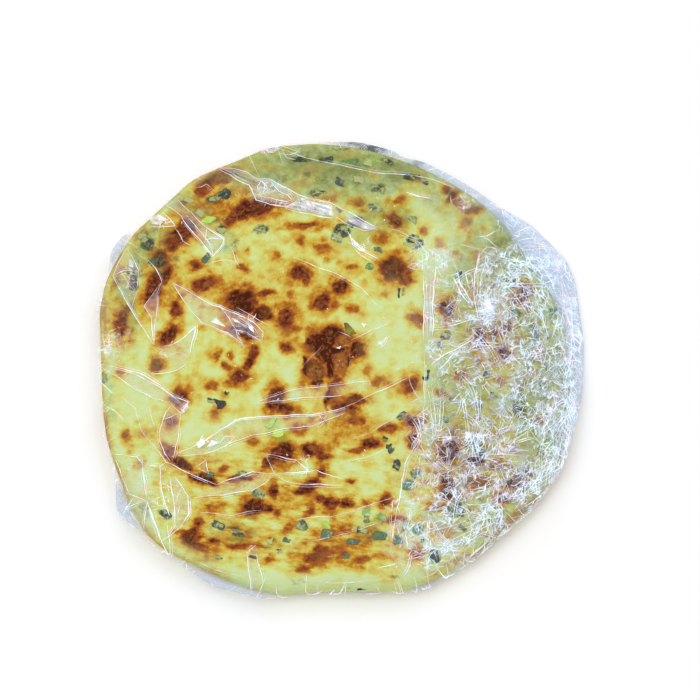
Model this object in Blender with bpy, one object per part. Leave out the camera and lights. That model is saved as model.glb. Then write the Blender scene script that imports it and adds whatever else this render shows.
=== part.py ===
"""Round onion flatbread sealed in clear film, lying flat: one closed solid out to the film.

Metres, +Z up. The origin is under the middle of the loaf, on the surface that it lies on.
Angles run anticlockwise from +X, in degrees.
"""
import math

import bmesh
import bpy
from mathutils import Vector, noise

# Thickness of the wrapped loaf
CENTRE_HEIGHT = 0.0240
EDGE_DROP = 0.0050
EDGE_DROP_RADIUS = 0.120
SURFACE_WAVE = 0.0009
SURFACE_WAVE_LENGTH = 0.055

# Rim: its width from the shoulder out, and how high it is widest
RIM_WIDTH = 0.013
WIDEST_HEIGHT = 0.0095
FOOT_INSET = 0.008
RIM_ROUNDNESS = 2.2

# Where the film stands off the loaf it runs straight from the shoulder to a low flap
FLAP_HEIGHT = 0.0030
FLAP_ROUNDNESS = 1.3
SLACK_STARTS = 0.003
SLACK_FULL = 0.009

# Corners of the film's outline as (angle, radius), with straight pulls between them
FILM_CORNERS = (
    (5, 0.1351), (20, 0.1403), (26, 0.1420), (32.5, 0.1392), (39, 0.1373), (66, 0.1316),
    (74, 0.1290), (78, 0.1339), (86, 0.1346), (95.5, 0.1352), (107, 0.1385), (127.5, 0.1398),
    (146, 0.1394), (148, 0.1407), (149.5, 0.1456), (151.5, 0.1461), (157, 0.1397), (161, 0.1392),
    (168, 0.1370), (172, 0.1346), (193.5, 0.1328), (200, 0.1346), (210.5, 0.1377), (216, 0.1465),
    (228.5, 0.1438), (243, 0.1435), (252.5, 0.1404), (256, 0.1381), (263.5, 0.1327),
    (286.5, 0.1369), (292, 0.1363), (301, 0.1339), (320, 0.1335), (332, 0.1350), (351.5, 0.1334),
)
CORNER_SOFTENING = 1.6

# Radius of the loaf itself every 15 degrees, from +X
LOAF_RADII = (
    0.1257, 0.1237, 0.1211, 0.1236, 0.1248, 0.1296, 0.1349, 0.1375,
    0.1376, 0.1390, 0.1388, 0.1377, 0.1323, 0.1332, 0.1373, 0.1437,
    0.1414, 0.1379, 0.1318, 0.1355, 0.1341, 0.1328, 0.1331, 0.1281,
)
FILM_GAP = 0.0008

# Seams between the turns of the coiled dough, each as points in plan
SEAM_DEPTH = 0.0011
SEAM_WIDTH = 0.0050
SEAM_LIP = 0.0007
DOUGH_SEAMS = (
    ((-0.075, 0.050), (-0.061, 0.068), (-0.034, 0.077), (0.002, 0.074), (0.033, 0.054), (0.046, 0.024)),
    ((-0.124, 0.022), (-0.110, 0.048), (-0.092, 0.074), (-0.066, 0.087), (-0.006, 0.095), (0.045, 0.076)),
    ((-0.098, -0.045), (-0.091, -0.063), (-0.073, -0.074), (-0.051, -0.069), (-0.015, -0.070), (0.030, -0.060)),
    ((-0.098, -0.084), (-0.083, -0.098), (-0.067, -0.108), (-0.041, -0.115), (0.010, -0.112)),
)

# Browned blisters, each as x, y and radius
BLISTER_HEIGHT = 0.0016
BLISTERS = (
    (-0.054, 0.028, 0.015), (-0.031, 0.022, 0.009), (-0.021, 0.047, 0.008), (-0.008, 0.031, 0.009),
    (-0.004, 0.003, 0.018), (-0.010, -0.012, 0.010), (0.029, 0.049, 0.011), (-0.074, 0.042, 0.010),
    (-0.092, 0.013, 0.007), (-0.052, -0.011, 0.008), (-0.030, -0.033, 0.010), (0.003, -0.030, 0.013),
    (-0.033, -0.060, 0.012), (-0.013, -0.060, 0.010), (-0.043, -0.085, 0.011), (-0.013, -0.075, 0.009),
    (-0.075, -0.106, 0.012), (-0.005, -0.110, 0.012), (0.062, -0.060, 0.012), (0.038, -0.048, 0.009),
    (0.058, 0.023, 0.008), (0.067, 0.092, 0.011), (-0.065, 0.105, 0.012), (-0.088, 0.074, 0.011),
    (0.092, -0.074, 0.010), (-0.101, 0.041, 0.010),
)

# Raised folds of the film, each as a height and points in plan
FOLD_WIDTH = 0.0046
FILM_FOLDS = (
    (0.0018, ((-0.066, 0.113), (-0.043, 0.093), (-0.019, 0.086), (0.018, 0.074))),
    (0.0013, ((-0.093, 0.093), (-0.083, 0.077), (-0.070, 0.062))),
    (0.0014, ((-0.120, 0.063), (-0.110, 0.032), (-0.101, 0.006))),
    (0.0016, ((-0.092, 0.042), (-0.067, 0.017), (-0.041, 0.005))),
    (0.0013, ((-0.130, -0.003), (-0.107, -0.017), (-0.085, -0.029))),
    (0.0013, ((-0.085, -0.029), (-0.091, -0.037), (-0.092, -0.063))),
    (0.0016, ((-0.092, -0.063), (-0.074, -0.056), (-0.049, -0.041), (-0.009, -0.038), (0.038, -0.015))),
    (0.0012, ((-0.046, -0.030), (-0.012, -0.021), (0.018, -0.022))),
    (0.0013, ((-0.077, -0.083), (-0.035, -0.069), (0.002, -0.073))),
    (0.0015, ((-0.089, -0.070), (-0.078, -0.085), (-0.095, -0.106))),
    (0.0014, ((-0.118, -0.083), (-0.103, -0.085), (-0.083, -0.080))),
    (0.0012, ((-0.046, -0.109), (-0.044, -0.128))),
    (0.0012, ((-0.011, 0.052), (0.022, 0.027))),
)

# Doubled, crumpled film over the right of the loaf, from this edge on
PLY_HEIGHT = 0.0009
PLY_EDGE = ((0.044, 0.125), (0.048, 0.054), (0.049, 0.001), (0.046, -0.051), (0.034, -0.078), (0.026, -0.128))
PLY_EDGE_WIDTH = 0.004
CRUMPLE_HEIGHT = 0.0022
CRUMPLE_LENGTH = 0.0105
CRUMPLE_LEVEL = 0.60
CRUMPLE_HOLLOW = 0.25
RIM_PLEAT_HEIGHT = 0.0010
RIM_PLEAT_LENGTH = 0.007

# Mesh: cells across the top, and rows round the rim above and below its widest line
TOP_CELLS = 60
ROWS_ABOVE = 4
ROWS_BELOW = 2

FILM_COLOUR = (0.70, 0.62, 0.22, 1.0)
FILM_SHINE = 0.18


def clear_scene():
    for old in list(bpy.data.objects):
        bpy.data.objects.remove(old, do_unlink=True)


def smooth_step(low, high, value):
    """0 below low, 1 above high, and a smooth rise between."""
    share = min(max((value - low) / (high - low), 0.0), 1.0)
    return share * share * (3.0 - 2.0 * share)


def polar(angle, radius):
    return Vector((radius * math.cos(math.radians(angle)), radius * math.sin(math.radians(angle))))


def chord_radius(angle):
    """Radius of the straight-sided film outline in one direction."""
    angle %= 360.0
    before = FILM_CORNERS[-1]
    for after in FILM_CORNERS + (FILM_CORNERS[0],):
        if (angle - before[0]) % 360.0 < (after[0] - before[0]) % 360.0:
            start = polar(*before)
            side = polar(*after) - start
            ray = polar(angle, 1.0)
            return (start.x * side.y - start.y * side.x) / (ray.x * side.y - ray.y * side.x)
        before = after
    return before[1]


def film_radius(angle):
    """The outline with its corners softened."""
    samples = [chord_radius(angle + CORNER_SOFTENING * step / 2.0) for step in range(-2, 3)]
    return sum(samples) / len(samples)


def loaf_radius(angle):
    """A smooth closed curve through the loaf's radii, kept inside the film."""
    count = len(LOAF_RADII)
    place = (angle % 360.0) / 360.0 * count
    first = int(place) % count
    share = place - int(place)
    a, b, c, d = (LOAF_RADII[(first + step) % count] for step in (-1, 0, 1, 2))
    curve = b + 0.5 * share * (c - a + share * (2 * a - 5 * b + 4 * c - d + share * (3 * (b - c) + d - a)))
    return min(curve, film_radius(angle) - FILM_GAP)


def path_distance(point, path):
    """Distance to a line of points, the side that point is on, and how far along it is, 0 to 1."""
    best = (1.0, 1.0, 0.0)
    for index in range(len(path) - 1):
        start = Vector(path[index])
        run = Vector(path[index + 1]) - start
        offset = point - start
        share = min(max(offset.dot(run) / run.length_squared, 0.0), 1.0)
        distance = (offset - run * share).length
        if distance < best[0]:
            side = 1.0 if run.x * offset.y - run.y * offset.x > 0.0 else -1.0
            best = (distance, side, (index + share) / (len(path) - 1))
    return best


def end_taper(along):
    """Fades a fold or a seam to nothing at its two ends."""
    return smooth_step(0.0, 0.12, along) * smooth_step(0.0, 0.12, 1.0 - along)


def seam_relief(point):
    """A groove along each seam, with a lip where the next turn of dough laps over it."""
    relief = 0.0
    for seam in DOUGH_SEAMS:
        distance, side, along = path_distance(point, seam)
        groove = math.exp(-(distance / SEAM_WIDTH) ** 2)
        lip = math.exp(-((distance - SEAM_WIDTH) / SEAM_WIDTH) ** 2) if side < 0.0 else 0.0
        relief += end_taper(along) * (SEAM_LIP * lip - SEAM_DEPTH * groove)
    return relief


def blister_relief(point):
    relief = 0.0
    for x, y, radius in BLISTERS:
        distance = (point - Vector((x, y))).length / radius
        if distance < 1.0:
            relief = max(relief, BLISTER_HEIGHT * (1.0 - distance ** 2) ** 1.5)
    return relief


def fold_relief(point):
    relief = 0.0
    for height, fold in FILM_FOLDS:
        distance, _, along = path_distance(point, fold)
        relief = max(relief, height * end_taper(along) * (1.0 - distance / FOLD_WIDTH))
    return relief


def crumple_relief(point):
    """The doubled film: a step at its edge, then sharp ridges between small hollows."""
    distance, side, _ = path_distance(point, PLY_EDGE)
    cover = smooth_step(-PLY_EDGE_WIDTH, PLY_EDGE_WIDTH, distance * side)
    ridge = 1.0 - 2.0 * abs(noise.noise(Vector((point.x, point.y, 0.0)) / CRUMPLE_LENGTH))
    return cover * (PLY_HEIGHT + CRUMPLE_HEIGHT * max(ridge - CRUMPLE_LEVEL, -CRUMPLE_HOLLOW))


def top_height(point):
    """Height of the film over the loaf, with all that stands up or sinks in it."""
    dome = CENTRE_HEIGHT - EDGE_DROP * (point.length / EDGE_DROP_RADIUS) ** 2.6
    wave = SURFACE_WAVE * noise.noise(Vector((point.x, point.y, 0.3)) / SURFACE_WAVE_LENGTH)
    bumps = max(blister_relief(point), fold_relief(point))
    return dome + wave + seam_relief(point) + bumps + crumple_relief(point)


def disc_from_square(u, v):
    """Even map of a square onto a disc: ring from 0 to 1, and the direction."""
    if u == 0.0 and v == 0.0:
        return 0.0, 0.0
    if abs(u) >= abs(v):
        return abs(u), 45.0 * v / u + (180.0 if u < 0.0 else 0.0)
    return abs(v), 90.0 - 45.0 * u / v + (180.0 if v < 0.0 else 0.0)


def rim_point(angle, row):
    """A point on the rim: rows run from the shoulder out to the widest line and in under the loaf."""
    loaf = loaf_radius(angle)
    film = film_radius(angle)
    slack = smooth_step(SLACK_STARTS, SLACK_FULL, film - loaf)
    widest = WIDEST_HEIGHT + (FLAP_HEIGHT - WIDEST_HEIGHT) * slack
    if row <= ROWS_ABOVE:
        turn = math.radians(90.0 * (1.0 - row / ROWS_ABOVE))
        power = 2.0 / (RIM_ROUNDNESS + (FLAP_ROUNDNESS - RIM_ROUNDNESS) * slack)
        shoulder = polar(angle, loaf - RIM_WIDTH)
        top = top_height(shoulder)
        out = math.cos(turn) ** power
        radius = shoulder.length + (film - shoulder.length) * out
        height = widest + (top - widest) * math.sin(turn) ** power
        ring = Vector((math.cos(math.radians(angle)), math.sin(math.radians(angle)), 0.0))
        pleat = noise.noise(ring * (film / RIM_PLEAT_LENGTH))
        height += RIM_PLEAT_HEIGHT * pleat * math.sin(2.0 * turn)
    else:
        turn = math.radians(90.0 * (row - ROWS_ABOVE) / ROWS_BELOW)
        foot = loaf - FOOT_INSET
        radius = foot + (film - foot) * math.cos(turn)
        height = widest * (1.0 - math.sin(turn))
    return polar(angle, radius), max(height, 0.0)


def wrapped_point(u, v, row):
    """Where one point of the flat grid, or of the rows round its edge, lies on the wrapped loaf."""
    ring, angle = disc_from_square(u, v)
    if row == 0:
        point = polar(angle, ring * (loaf_radius(angle) - RIM_WIDTH))
        return Vector((point.x, point.y, top_height(point)))
    point, height = rim_point(angle, row)
    return Vector((point.x, point.y, height))


def add_rim_rows(mesh):
    """Pulls the grid's edge down row by row, its height counting the rows, and closes the underside."""
    for _ in range(ROWS_ABOVE + ROWS_BELOW):
        rim = [edge for edge in mesh.edges if edge.is_boundary]
        pulled = bmesh.ops.extrude_edge_only(mesh, edges=rim)["geom"]
        for vert in pulled:
            if isinstance(vert, bmesh.types.BMVert):
                vert.co.z += 1.0
    foot = [edge for edge in mesh.edges if edge.is_boundary]
    bmesh.ops.holes_fill(mesh, edges=foot, sides=0)


def film_material():
    material = bpy.data.materials.new("clear_film_over_dough")
    material.use_nodes = True
    shader = material.node_tree.nodes["Principled BSDF"]
    shader.inputs["Base Color"].default_value = FILM_COLOUR
    shader.inputs["Roughness"].default_value = FILM_SHINE
    shader.inputs["Metallic"].default_value = 0.0
    material.diffuse_color = FILM_COLOUR
    return material


def make_wrapped_patir(collection):
    bpy.ops.mesh.primitive_grid_add(x_subdivisions=TOP_CELLS, y_subdivisions=TOP_CELLS, size=2.0)
    loaf = bpy.context.object
    loaf.name = "film_wrapped_patir"
    loaf.data.name = "film_wrapped_patir"
    mesh = bmesh.new()
    mesh.from_mesh(loaf.data)
    add_rim_rows(mesh)
    for vert in mesh.verts:
        vert.co = wrapped_point(vert.co.x, vert.co.y, round(vert.co.z))
    middle = Vector((0.0, 0.0, 0.0))
    for axis in (0, 1):
        places = [vert.co[axis] for vert in mesh.verts]
        middle[axis] = (min(places) + max(places)) / 2.0
    bmesh.ops.translate(mesh, verts=mesh.verts, vec=-middle)
    bmesh.ops.recalc_face_normals(mesh, faces=mesh.faces)
    mesh.to_mesh(loaf.data)
    mesh.free()
    loaf.data.shade_smooth()
    loaf.data.set_sharp_from_angle(angle=math.radians(50.0))
    loaf.data.materials.append(film_material())
    for holder in list(loaf.users_collection):
        holder.objects.unlink(loaf)
    collection.objects.link(loaf)
    return loaf


def main():
    clear_scene()
    collection = bpy.data.collections.new("onion_patir_flatbread")
    bpy.context.scene.collection.children.link(collection)
    make_wrapped_patir(collection)


main()
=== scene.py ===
import math
import random

import bpy
import numpy as np
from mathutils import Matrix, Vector, noise
from mathutils.bvhtree import BVHTree


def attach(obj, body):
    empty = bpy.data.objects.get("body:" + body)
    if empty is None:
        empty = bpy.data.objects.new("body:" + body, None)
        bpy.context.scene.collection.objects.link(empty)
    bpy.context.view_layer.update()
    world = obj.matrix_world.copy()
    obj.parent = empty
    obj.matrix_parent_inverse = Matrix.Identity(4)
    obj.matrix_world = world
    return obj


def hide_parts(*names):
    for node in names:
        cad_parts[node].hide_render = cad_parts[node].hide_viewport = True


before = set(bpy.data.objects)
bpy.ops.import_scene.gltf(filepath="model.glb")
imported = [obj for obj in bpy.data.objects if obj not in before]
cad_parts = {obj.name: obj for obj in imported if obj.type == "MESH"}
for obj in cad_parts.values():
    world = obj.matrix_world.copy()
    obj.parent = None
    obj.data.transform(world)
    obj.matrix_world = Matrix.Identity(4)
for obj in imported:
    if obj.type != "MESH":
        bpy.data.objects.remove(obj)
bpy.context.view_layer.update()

wrapNode = 'film_wrapped_patir'
body = 'root'
mm = 0.001

# The picture's frame: pixel places further down are turned into places on the loaf with it
photo = {
    'side': 700,  # pixels
    'elevation': 67.0,  # degrees above the table
    'distance': 1.0,
    'aim': (0.00519, 0.00490, 0.010),
    'lens': 94.0,
    'sensor': 36.0,
}

lookDown = math.radians(photo['elevation'])
forward = np.array((0.0, math.cos(lookDown), -math.sin(lookDown)))
upward = np.array((0.0, math.sin(lookDown), math.cos(lookDown)))
cameraPlace = np.array(photo['aim']) - photo['distance'] * forward
halfView = photo['sensor'] / 2 / photo['lens']
halfSide = photo['side'] / 2


def toPixels(points):
    # where points of the model fall in the picture
    away = points - cameraPlace
    depth = away @ forward
    across = halfSide + halfSide * away[:, 0] / depth / halfView
    down = halfSide - halfSide * (away @ upward) / depth / halfView
    return across, down


def pixelRay(across, down):
    right = (across - halfSide) / halfSide * halfView
    up = (halfSide - down) / halfSide * halfView
    ray = forward + up * upward + np.array((right, 0.0, 0.0))
    return Vector(cameraPlace), Vector(ray).normalized()


def smoothStep(low, high, value):
    share = np.clip((value - low) / (high - low), 0.0, 1.0)
    return share * share * (3.0 - 2.0 * share)


def waves(points, length, shift=0.0):
    # smooth noise from -1 to 1 at each point
    scaled = points / length + shift
    return np.array([noise.noise(Vector(place)) for place in scaled.tolist()])


def flat(x, y, z=0.0):
    return np.stack((x, y, np.full_like(x, z)), axis=1)


# Form of the wrapped loaf, the same as the solid's, and of the bread inside it
loafForm = {
    'centreHeight': 24.0 * mm,
    'edgeDrop': 5.0 * mm,
    'edgeDropRadius': 120.0 * mm,
    'edgeDropPower': 2.6,
    'wave': 0.9 * mm,
    'waveLength': 55.0 * mm,
    'rimWidth': 13.0 * mm,
    'widest': 9.5 * mm,
    'footInset': 8.0 * mm,
    'roundness': 2.2,
    'radii': (
        125.7, 123.7, 121.1, 123.6, 124.8, 127.6, 132.2, 136.6, 137.6, 139.0, 138.8, 137.7,
        132.3, 133.2, 136.0, 142.6, 138.6, 136.4, 131.8, 134.6, 133.0, 132.8, 133.1, 128.1,
    ),
    'seamDepth': 1.1 * mm,
    'seamWidth': 5.0 * mm,
    'seamLip': 0.7 * mm,
    'blister': 1.6 * mm,
    'blisterShare': 0.85,  # of a blister's height that the bread itself has under the film
    'underFilm': 0.6 * mm,  # from the film down to the bread
    'insideFilm': 0.5 * mm,  # the same at the side and underneath
}
filmForm = {
    'corners': (
        (5, 135.1), (20, 140.3), (26, 142.0), (32.5, 139.2), (39, 137.3), (66, 131.6), (74, 129.0),
        (78, 133.9), (86, 134.6), (95.5, 135.2), (107, 138.5), (127.5, 139.8), (146, 139.4),
        (148, 140.7), (149.5, 145.6), (151.5, 146.1), (157, 139.7), (161, 139.2), (168, 137.0),
        (172, 134.6), (193.5, 132.8), (200, 134.6), (210.5, 137.7), (216, 146.5), (228.5, 143.8),
        (243, 143.5), (252.5, 140.4), (256, 138.1), (263.5, 132.7), (286.5, 136.9), (292, 136.3),
        (301, 133.9), (320, 133.5), (332, 135.0), (351.5, 133.4),
    ),
    'cornerSoftening': 1.6,
    'gap': 0.8 * mm,
    'plyRise': 0.2 * mm,  # where it lies double
    'clearance': 0.4 * mm,
    'flapHeight': 3.0 * mm,
    'flapRoundness': 1.3,
    'slackStarts': 3.0 * mm,
    'slackFull': 9.0 * mm,
    'foldWidth': 4.6 * mm,
    'rimPleat': 1.0 * mm,
    'rimPleatLength': 7.0 * mm,
}
# Seams of the coiled dough and its larger blisters, in millimetres
doughSeams = (
    ((-75, 50), (-61, 68), (-34, 77), (2, 74), (33, 54), (46, 24)),
    ((-124, 22), (-110, 48), (-92, 74), (-66, 87), (-6, 95), (45, 76)),
    ((-98, -45), (-91, -63), (-73, -74), (-51, -69), (-15, -70), (30, -60)),
    ((-98, -84), (-83, -98), (-67, -108), (-41, -115), (10, -112)),
)
blisters = (
    (-54, 28, 15), (-31, 22, 9), (-21, 47, 8), (-8, 31, 9), (-4, 3, 18), (-10, -12, 10), (29, 49, 11),
    (-74, 42, 10), (-92, 13, 7), (-52, -11, 8), (-30, -33, 10), (3, -30, 13), (-33, -60, 12),
    (-13, -60, 10), (-43, -85, 11), (-13, -75, 9), (-75, -106, 12), (-5, -110, 12), (62, -60, 12),
    (38, -48, 9), (58, 23, 8), (67, 92, 11), (-65, 105, 12), (-88, 74, 11), (92, -74, 10), (-101, 41, 10),
)
# Raised folds of the film: height, then places, in millimetres
filmFolds = (
    (1.8, ((-66, 113), (-43, 93), (-19, 86), (18, 74))),
    (1.3, ((-93, 93), (-83, 77), (-70, 62))),
    (1.4, ((-120, 63), (-110, 32), (-101, 6))),
    (1.6, ((-92, 42), (-67, 17), (-41, 5))),
    (1.3, ((-130, -3), (-107, -17), (-85, -29))),
    (1.3, ((-85, -29), (-91, -37), (-92, -63))),
    (1.6, ((-92, -63), (-74, -56), (-49, -41), (-9, -38), (38, -15))),
    (1.2, ((-46, -30), (-12, -21), (18, -22))),
    (1.3, ((-77, -83), (-35, -69), (2, -73))),
    (1.5, ((-89, -70), (-78, -85), (-95, -106))),
    (1.4, ((-118, -83), (-103, -85), (-83, -80))),
    (1.2, ((-46, -109), (-44, -128))),
    (1.2, ((-11, 52), (22, 27))),
)
plyEdge = ((44, 125), (48, 54), (49, 1), (46, -51), (34, -78), (26, -128))


def outlineTable():
    # radius of the film's straight-sided outline every half degree, its corners softened
    corners = [(math.radians(angle), radius * mm) for angle, radius in filmForm['corners']]
    spots = [(radius * math.cos(angle), radius * math.sin(angle)) for angle, radius in corners]
    radii = []
    for step in range(720):
        angle = math.radians(step / 2)
        ray = (math.cos(angle), math.sin(angle))
        for (x0, y0), (x1, y1) in zip(spots, spots[1:] + spots[:1]):
            sideX, sideY = x1 - x0, y1 - y0
            along = (x0 * ray[1] - y0 * ray[0]) / (ray[0] * sideY - ray[1] * sideX)
            reach = (x0 + along * sideX) * ray[0] + (y0 + along * sideY) * ray[1]
            if -1e-9 <= along <= 1.0 + 1e-9 and reach > 0.0:
                radii.append(reach)
                break
    radii = np.array(radii)
    reach = int(filmForm['cornerSoftening'] * 2)
    return sum(np.roll(radii, step) for step in range(-reach, reach + 1)) / (2 * reach + 1)


halfDegrees = np.arange(720) / 2
filmRadii = outlineTable()


def filmRadius(angle):
    return np.interp(angle % 360.0, halfDegrees, filmRadii, period=360)


def loafRadius(angle):
    radii = np.array(loafForm['radii']) * mm
    place = (angle % 360.0) / 360.0 * len(radii)
    first = place.astype(int) % len(radii)
    share = place - place.astype(int)
    a, b, c, d = (radii[(first + step) % len(radii)] for step in (-1, 0, 1, 2))
    curve = b + 0.5 * share * (c - a + share * (2 * a - 5 * b + 4 * c - d + share * (3 * (b - c) + d - a)))
    return np.minimum(curve, filmRadius(angle) - filmForm['gap'])


def middleOfOutline():
    turn = np.radians(halfDegrees)
    x, y = filmRadii * np.cos(turn), filmRadii * np.sin(turn)
    return np.array(((x.min() + x.max()) / 2, (y.min() + y.max()) / 2, 0.0))


middle = middleOfOutline()


def pathDistance(x, y, path):
    # distance to a line of points, the side of it (1 is left), and how far along it
    nearest = np.full_like(x, 9.0)
    side = np.ones_like(x)
    along = np.zeros_like(x)
    points = [(px * mm, py * mm) for px, py in path]
    for index, ((x0, y0), (x1, y1)) in enumerate(zip(points, points[1:])):
        runX, runY = x1 - x0, y1 - y0
        share = np.clip(((x - x0) * runX + (y - y0) * runY) / (runX ** 2 + runY ** 2), 0.0, 1.0)
        distance = np.hypot(x - x0 - share * runX, y - y0 - share * runY)
        closer = distance < nearest
        side = np.where(closer, np.where(runX * (y - y0) - runY * (x - x0) > 0, 1.0, -1.0), side)
        along = np.where(closer, (index + share) / (len(points) - 1), along)
        nearest = np.where(closer, distance, nearest)
    return nearest, side, along


def endTaper(along):
    return smoothStep(0.0, 0.12, along) * smoothStep(0.0, 0.12, 1.0 - along)


def seamRelief(x, y):
    relief = np.zeros_like(x)
    width = loafForm['seamWidth']
    for seam in doughSeams:
        distance, side, along = pathDistance(x, y, seam)
        groove = np.exp(-(distance / width) ** 2)
        lip = np.where(side < 0, np.exp(-((distance - width) / width) ** 2), 0.0)
        relief += endTaper(along) * (loafForm['seamLip'] * lip - loafForm['seamDepth'] * groove)
    return relief


def blisterRelief(x, y):
    relief = np.zeros_like(x)
    for bx, by, radius in blisters:
        distance = np.hypot(x - bx * mm, y - by * mm) / (radius * mm)
        relief = np.maximum(relief, loafForm['blister'] * np.clip(1.0 - distance ** 2, 0.0, 1.0) ** 1.5)
    return relief


def foldRelief(x, y):
    relief = np.zeros_like(x)
    for height, path in filmFolds:
        distance, side, along = pathDistance(x, y, path)
        relief = np.maximum(relief, height * mm * endTaper(along) * (1.0 - distance / filmForm['foldWidth']))
    return relief


def plyCover(x, y):
    # 1 where the film is doubled, 0 elsewhere
    distance, side, along = pathDistance(x, y, plyEdge)
    return smoothStep(-4.0 * mm, 4.0 * mm, distance * side)


def within(value, first, full, ebb, last):
    # 0 outside first to last, 1 from full to ebb
    return smoothStep(first, full, value) * (1.0 - smoothStep(ebb, last, value))


def domeHeight(x, y):
    out = np.hypot(x, y) / loafForm['edgeDropRadius']
    dome = loafForm['centreHeight'] - loafForm['edgeDrop'] * out ** loafForm['edgeDropPower']
    return dome + loafForm['wave'] * waves(flat(x, y, 0.3), loafForm['waveLength'])


def loafTop(x, y):
    blister = loafForm['blisterShare'] * blisterRelief(x, y)
    return domeHeight(x, y) + seamRelief(x, y) + blister - loafForm['underFilm']


def filmTop(x, y):
    folds = np.maximum(blisterRelief(x, y), foldRelief(x, y))
    return domeHeight(x, y) + seamRelief(x, y) + folds + filmForm['plyRise'] * plyCover(x, y)


def discFromSquare(u, v):
    # even map of a square onto a disc: ring from 0 to 1, and the direction in degrees
    ring = np.maximum(np.abs(u), np.abs(v))
    safeU, safeV = np.where(u == 0, 1.0, u), np.where(v == 0, 1.0, v)
    fromX = 45.0 * v / safeU + np.where(u < 0, 180.0, 0.0)
    fromY = 90.0 - 45.0 * u / safeV + np.where(v < 0, 180.0, 0.0)
    return ring, np.where(np.abs(u) >= np.abs(v), fromX, fromY)


def editAll():
    # opens the active piece for editing, with all of it selected
    bpy.ops.object.mode_set(mode='EDIT')
    bpy.ops.mesh.select_all(action='SELECT')


def faceOutward():
    editAll()
    bpy.ops.mesh.normals_make_consistent(inside=False)
    bpy.ops.object.mode_set(mode='OBJECT')


def named(name):
    # the piece added last, under its own name
    piece = bpy.context.object
    piece.name = name
    piece.data.name = name
    return piece


def addMesh(name, corners, faces):
    bpy.ops.object.select_all(action='DESELECT')
    bpy.ops.mesh.primitive_plane_add(size=0.01)
    piece = named(name)
    piece.data.clear_geometry()
    piece.data.from_pydata(corners, [], faces)
    return piece


def addDiscCage(name, spec):
    # a square grid whose border is pulled down in rows and closed underneath
    bpy.ops.object.select_all(action='DESELECT')
    bpy.ops.mesh.primitive_grid_add(x_subdivisions=spec['cells'], y_subdivisions=spec['cells'], size=2)
    cage = named(name)
    editAll()
    bpy.ops.mesh.subdivide(number_cuts=spec['cuts'])
    bpy.ops.mesh.region_to_loop()
    for row in range(spec['rowsAbove'] + spec['rowsBelow']):
        bpy.ops.mesh.extrude_edges_move(TRANSFORM_OT_translate={'value': (0, 0, -1)})
    bpy.ops.mesh.edge_face_add()
    bpy.ops.object.mode_set(mode='OBJECT')
    grid = np.empty(len(cage.data.vertices) * 3)
    cage.data.vertices.foreach_get('co', grid)
    return cage, grid.reshape(-1, 3)


def finishCage(piece, places):
    piece.data.vertices.foreach_set('co', (places - middle).ravel())
    piece.data.update()
    faceOutward()
    bpy.ops.object.shade_smooth()


def writeField(piece, name, values):
    # one number for each vertex, for the material to read
    field = piece.data.attributes.new(name, 'FLOAT', 'POINT')
    field.data.foreach_set('value', np.asarray(values, dtype=np.float32))


def wrapPlaces(grid, spec, topHeight, isFilm):
    # turns the flat cage into the loaf or into the film round it
    u, v, rows = grid[:, 0], grid[:, 1], -grid[:, 2]
    ring, angle = discFromSquare(u, v)
    turn = np.radians(angle)
    loaf, film = loafRadius(angle), filmRadius(angle)
    shoulder = ring * (loaf - loafForm['rimWidth'])
    x, y = shoulder * np.cos(turn), shoulder * np.sin(turn)
    top = topHeight(x, y)
    outer = film if isFilm else loaf - loafForm['insideFilm']
    slack = smoothStep(filmForm['slackStarts'], filmForm['slackFull'], film - loaf) if isFilm else 0.0 * film
    widest = loafForm['widest'] + (filmForm['flapHeight'] - loafForm['widest']) * slack
    power = 2.0 / (loafForm['roundness'] + (filmForm['flapRoundness'] - loafForm['roundness']) * slack)
    above = np.radians(90.0 * (1.0 - np.clip(rows / spec['rowsAbove'], 0.0, 1.0)))
    cosAbove, sinAbove = np.abs(np.cos(above)) ** power, np.abs(np.sin(above)) ** power
    radius = shoulder + (outer - shoulder) * cosAbove
    height = widest + (top - widest) * sinAbove
    circle = np.stack((np.cos(turn), np.sin(turn), 0.0 * turn), axis=1)
    pleat = waves(circle * film[:, None], filmForm['rimPleatLength'])
    if isFilm:
        height += filmForm['rimPleat'] * pleat * np.sin(2.0 * above)
        share = np.clip((radius - shoulder) / (loaf - shoulder), 0.0, 1.0)
        bulge = np.sqrt(1.0 - share ** loafForm['roundness']) ** (2.0 / loafForm['roundness'])
        bread = loafForm['widest'] + (top - loafForm['widest']) * bulge + filmForm['clearance']
        height = np.where(share < 1.0, np.maximum(height, bread), height)
    below = np.radians(90.0 * np.clip((rows - spec['rowsAbove']) / spec['rowsBelow'], 0.0, 1.0))
    foot = loaf - loafForm['footInset']
    isBelow = rows > spec['rowsAbove']
    floor = 0.0 if isFilm else loafForm['insideFilm']
    radius = np.where(isBelow, foot + (outer - foot) * np.cos(below), radius)
    height = np.where(isBelow, floor + (widest - floor) * (1.0 - np.sin(below)), height)
    radius = np.where(rows < 0.5, shoulder, radius)
    height = np.where(rows < 0.5, top, height)
    return np.stack((radius * np.cos(turn), radius * np.sin(turn), np.maximum(height, floor)), axis=1)


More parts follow.
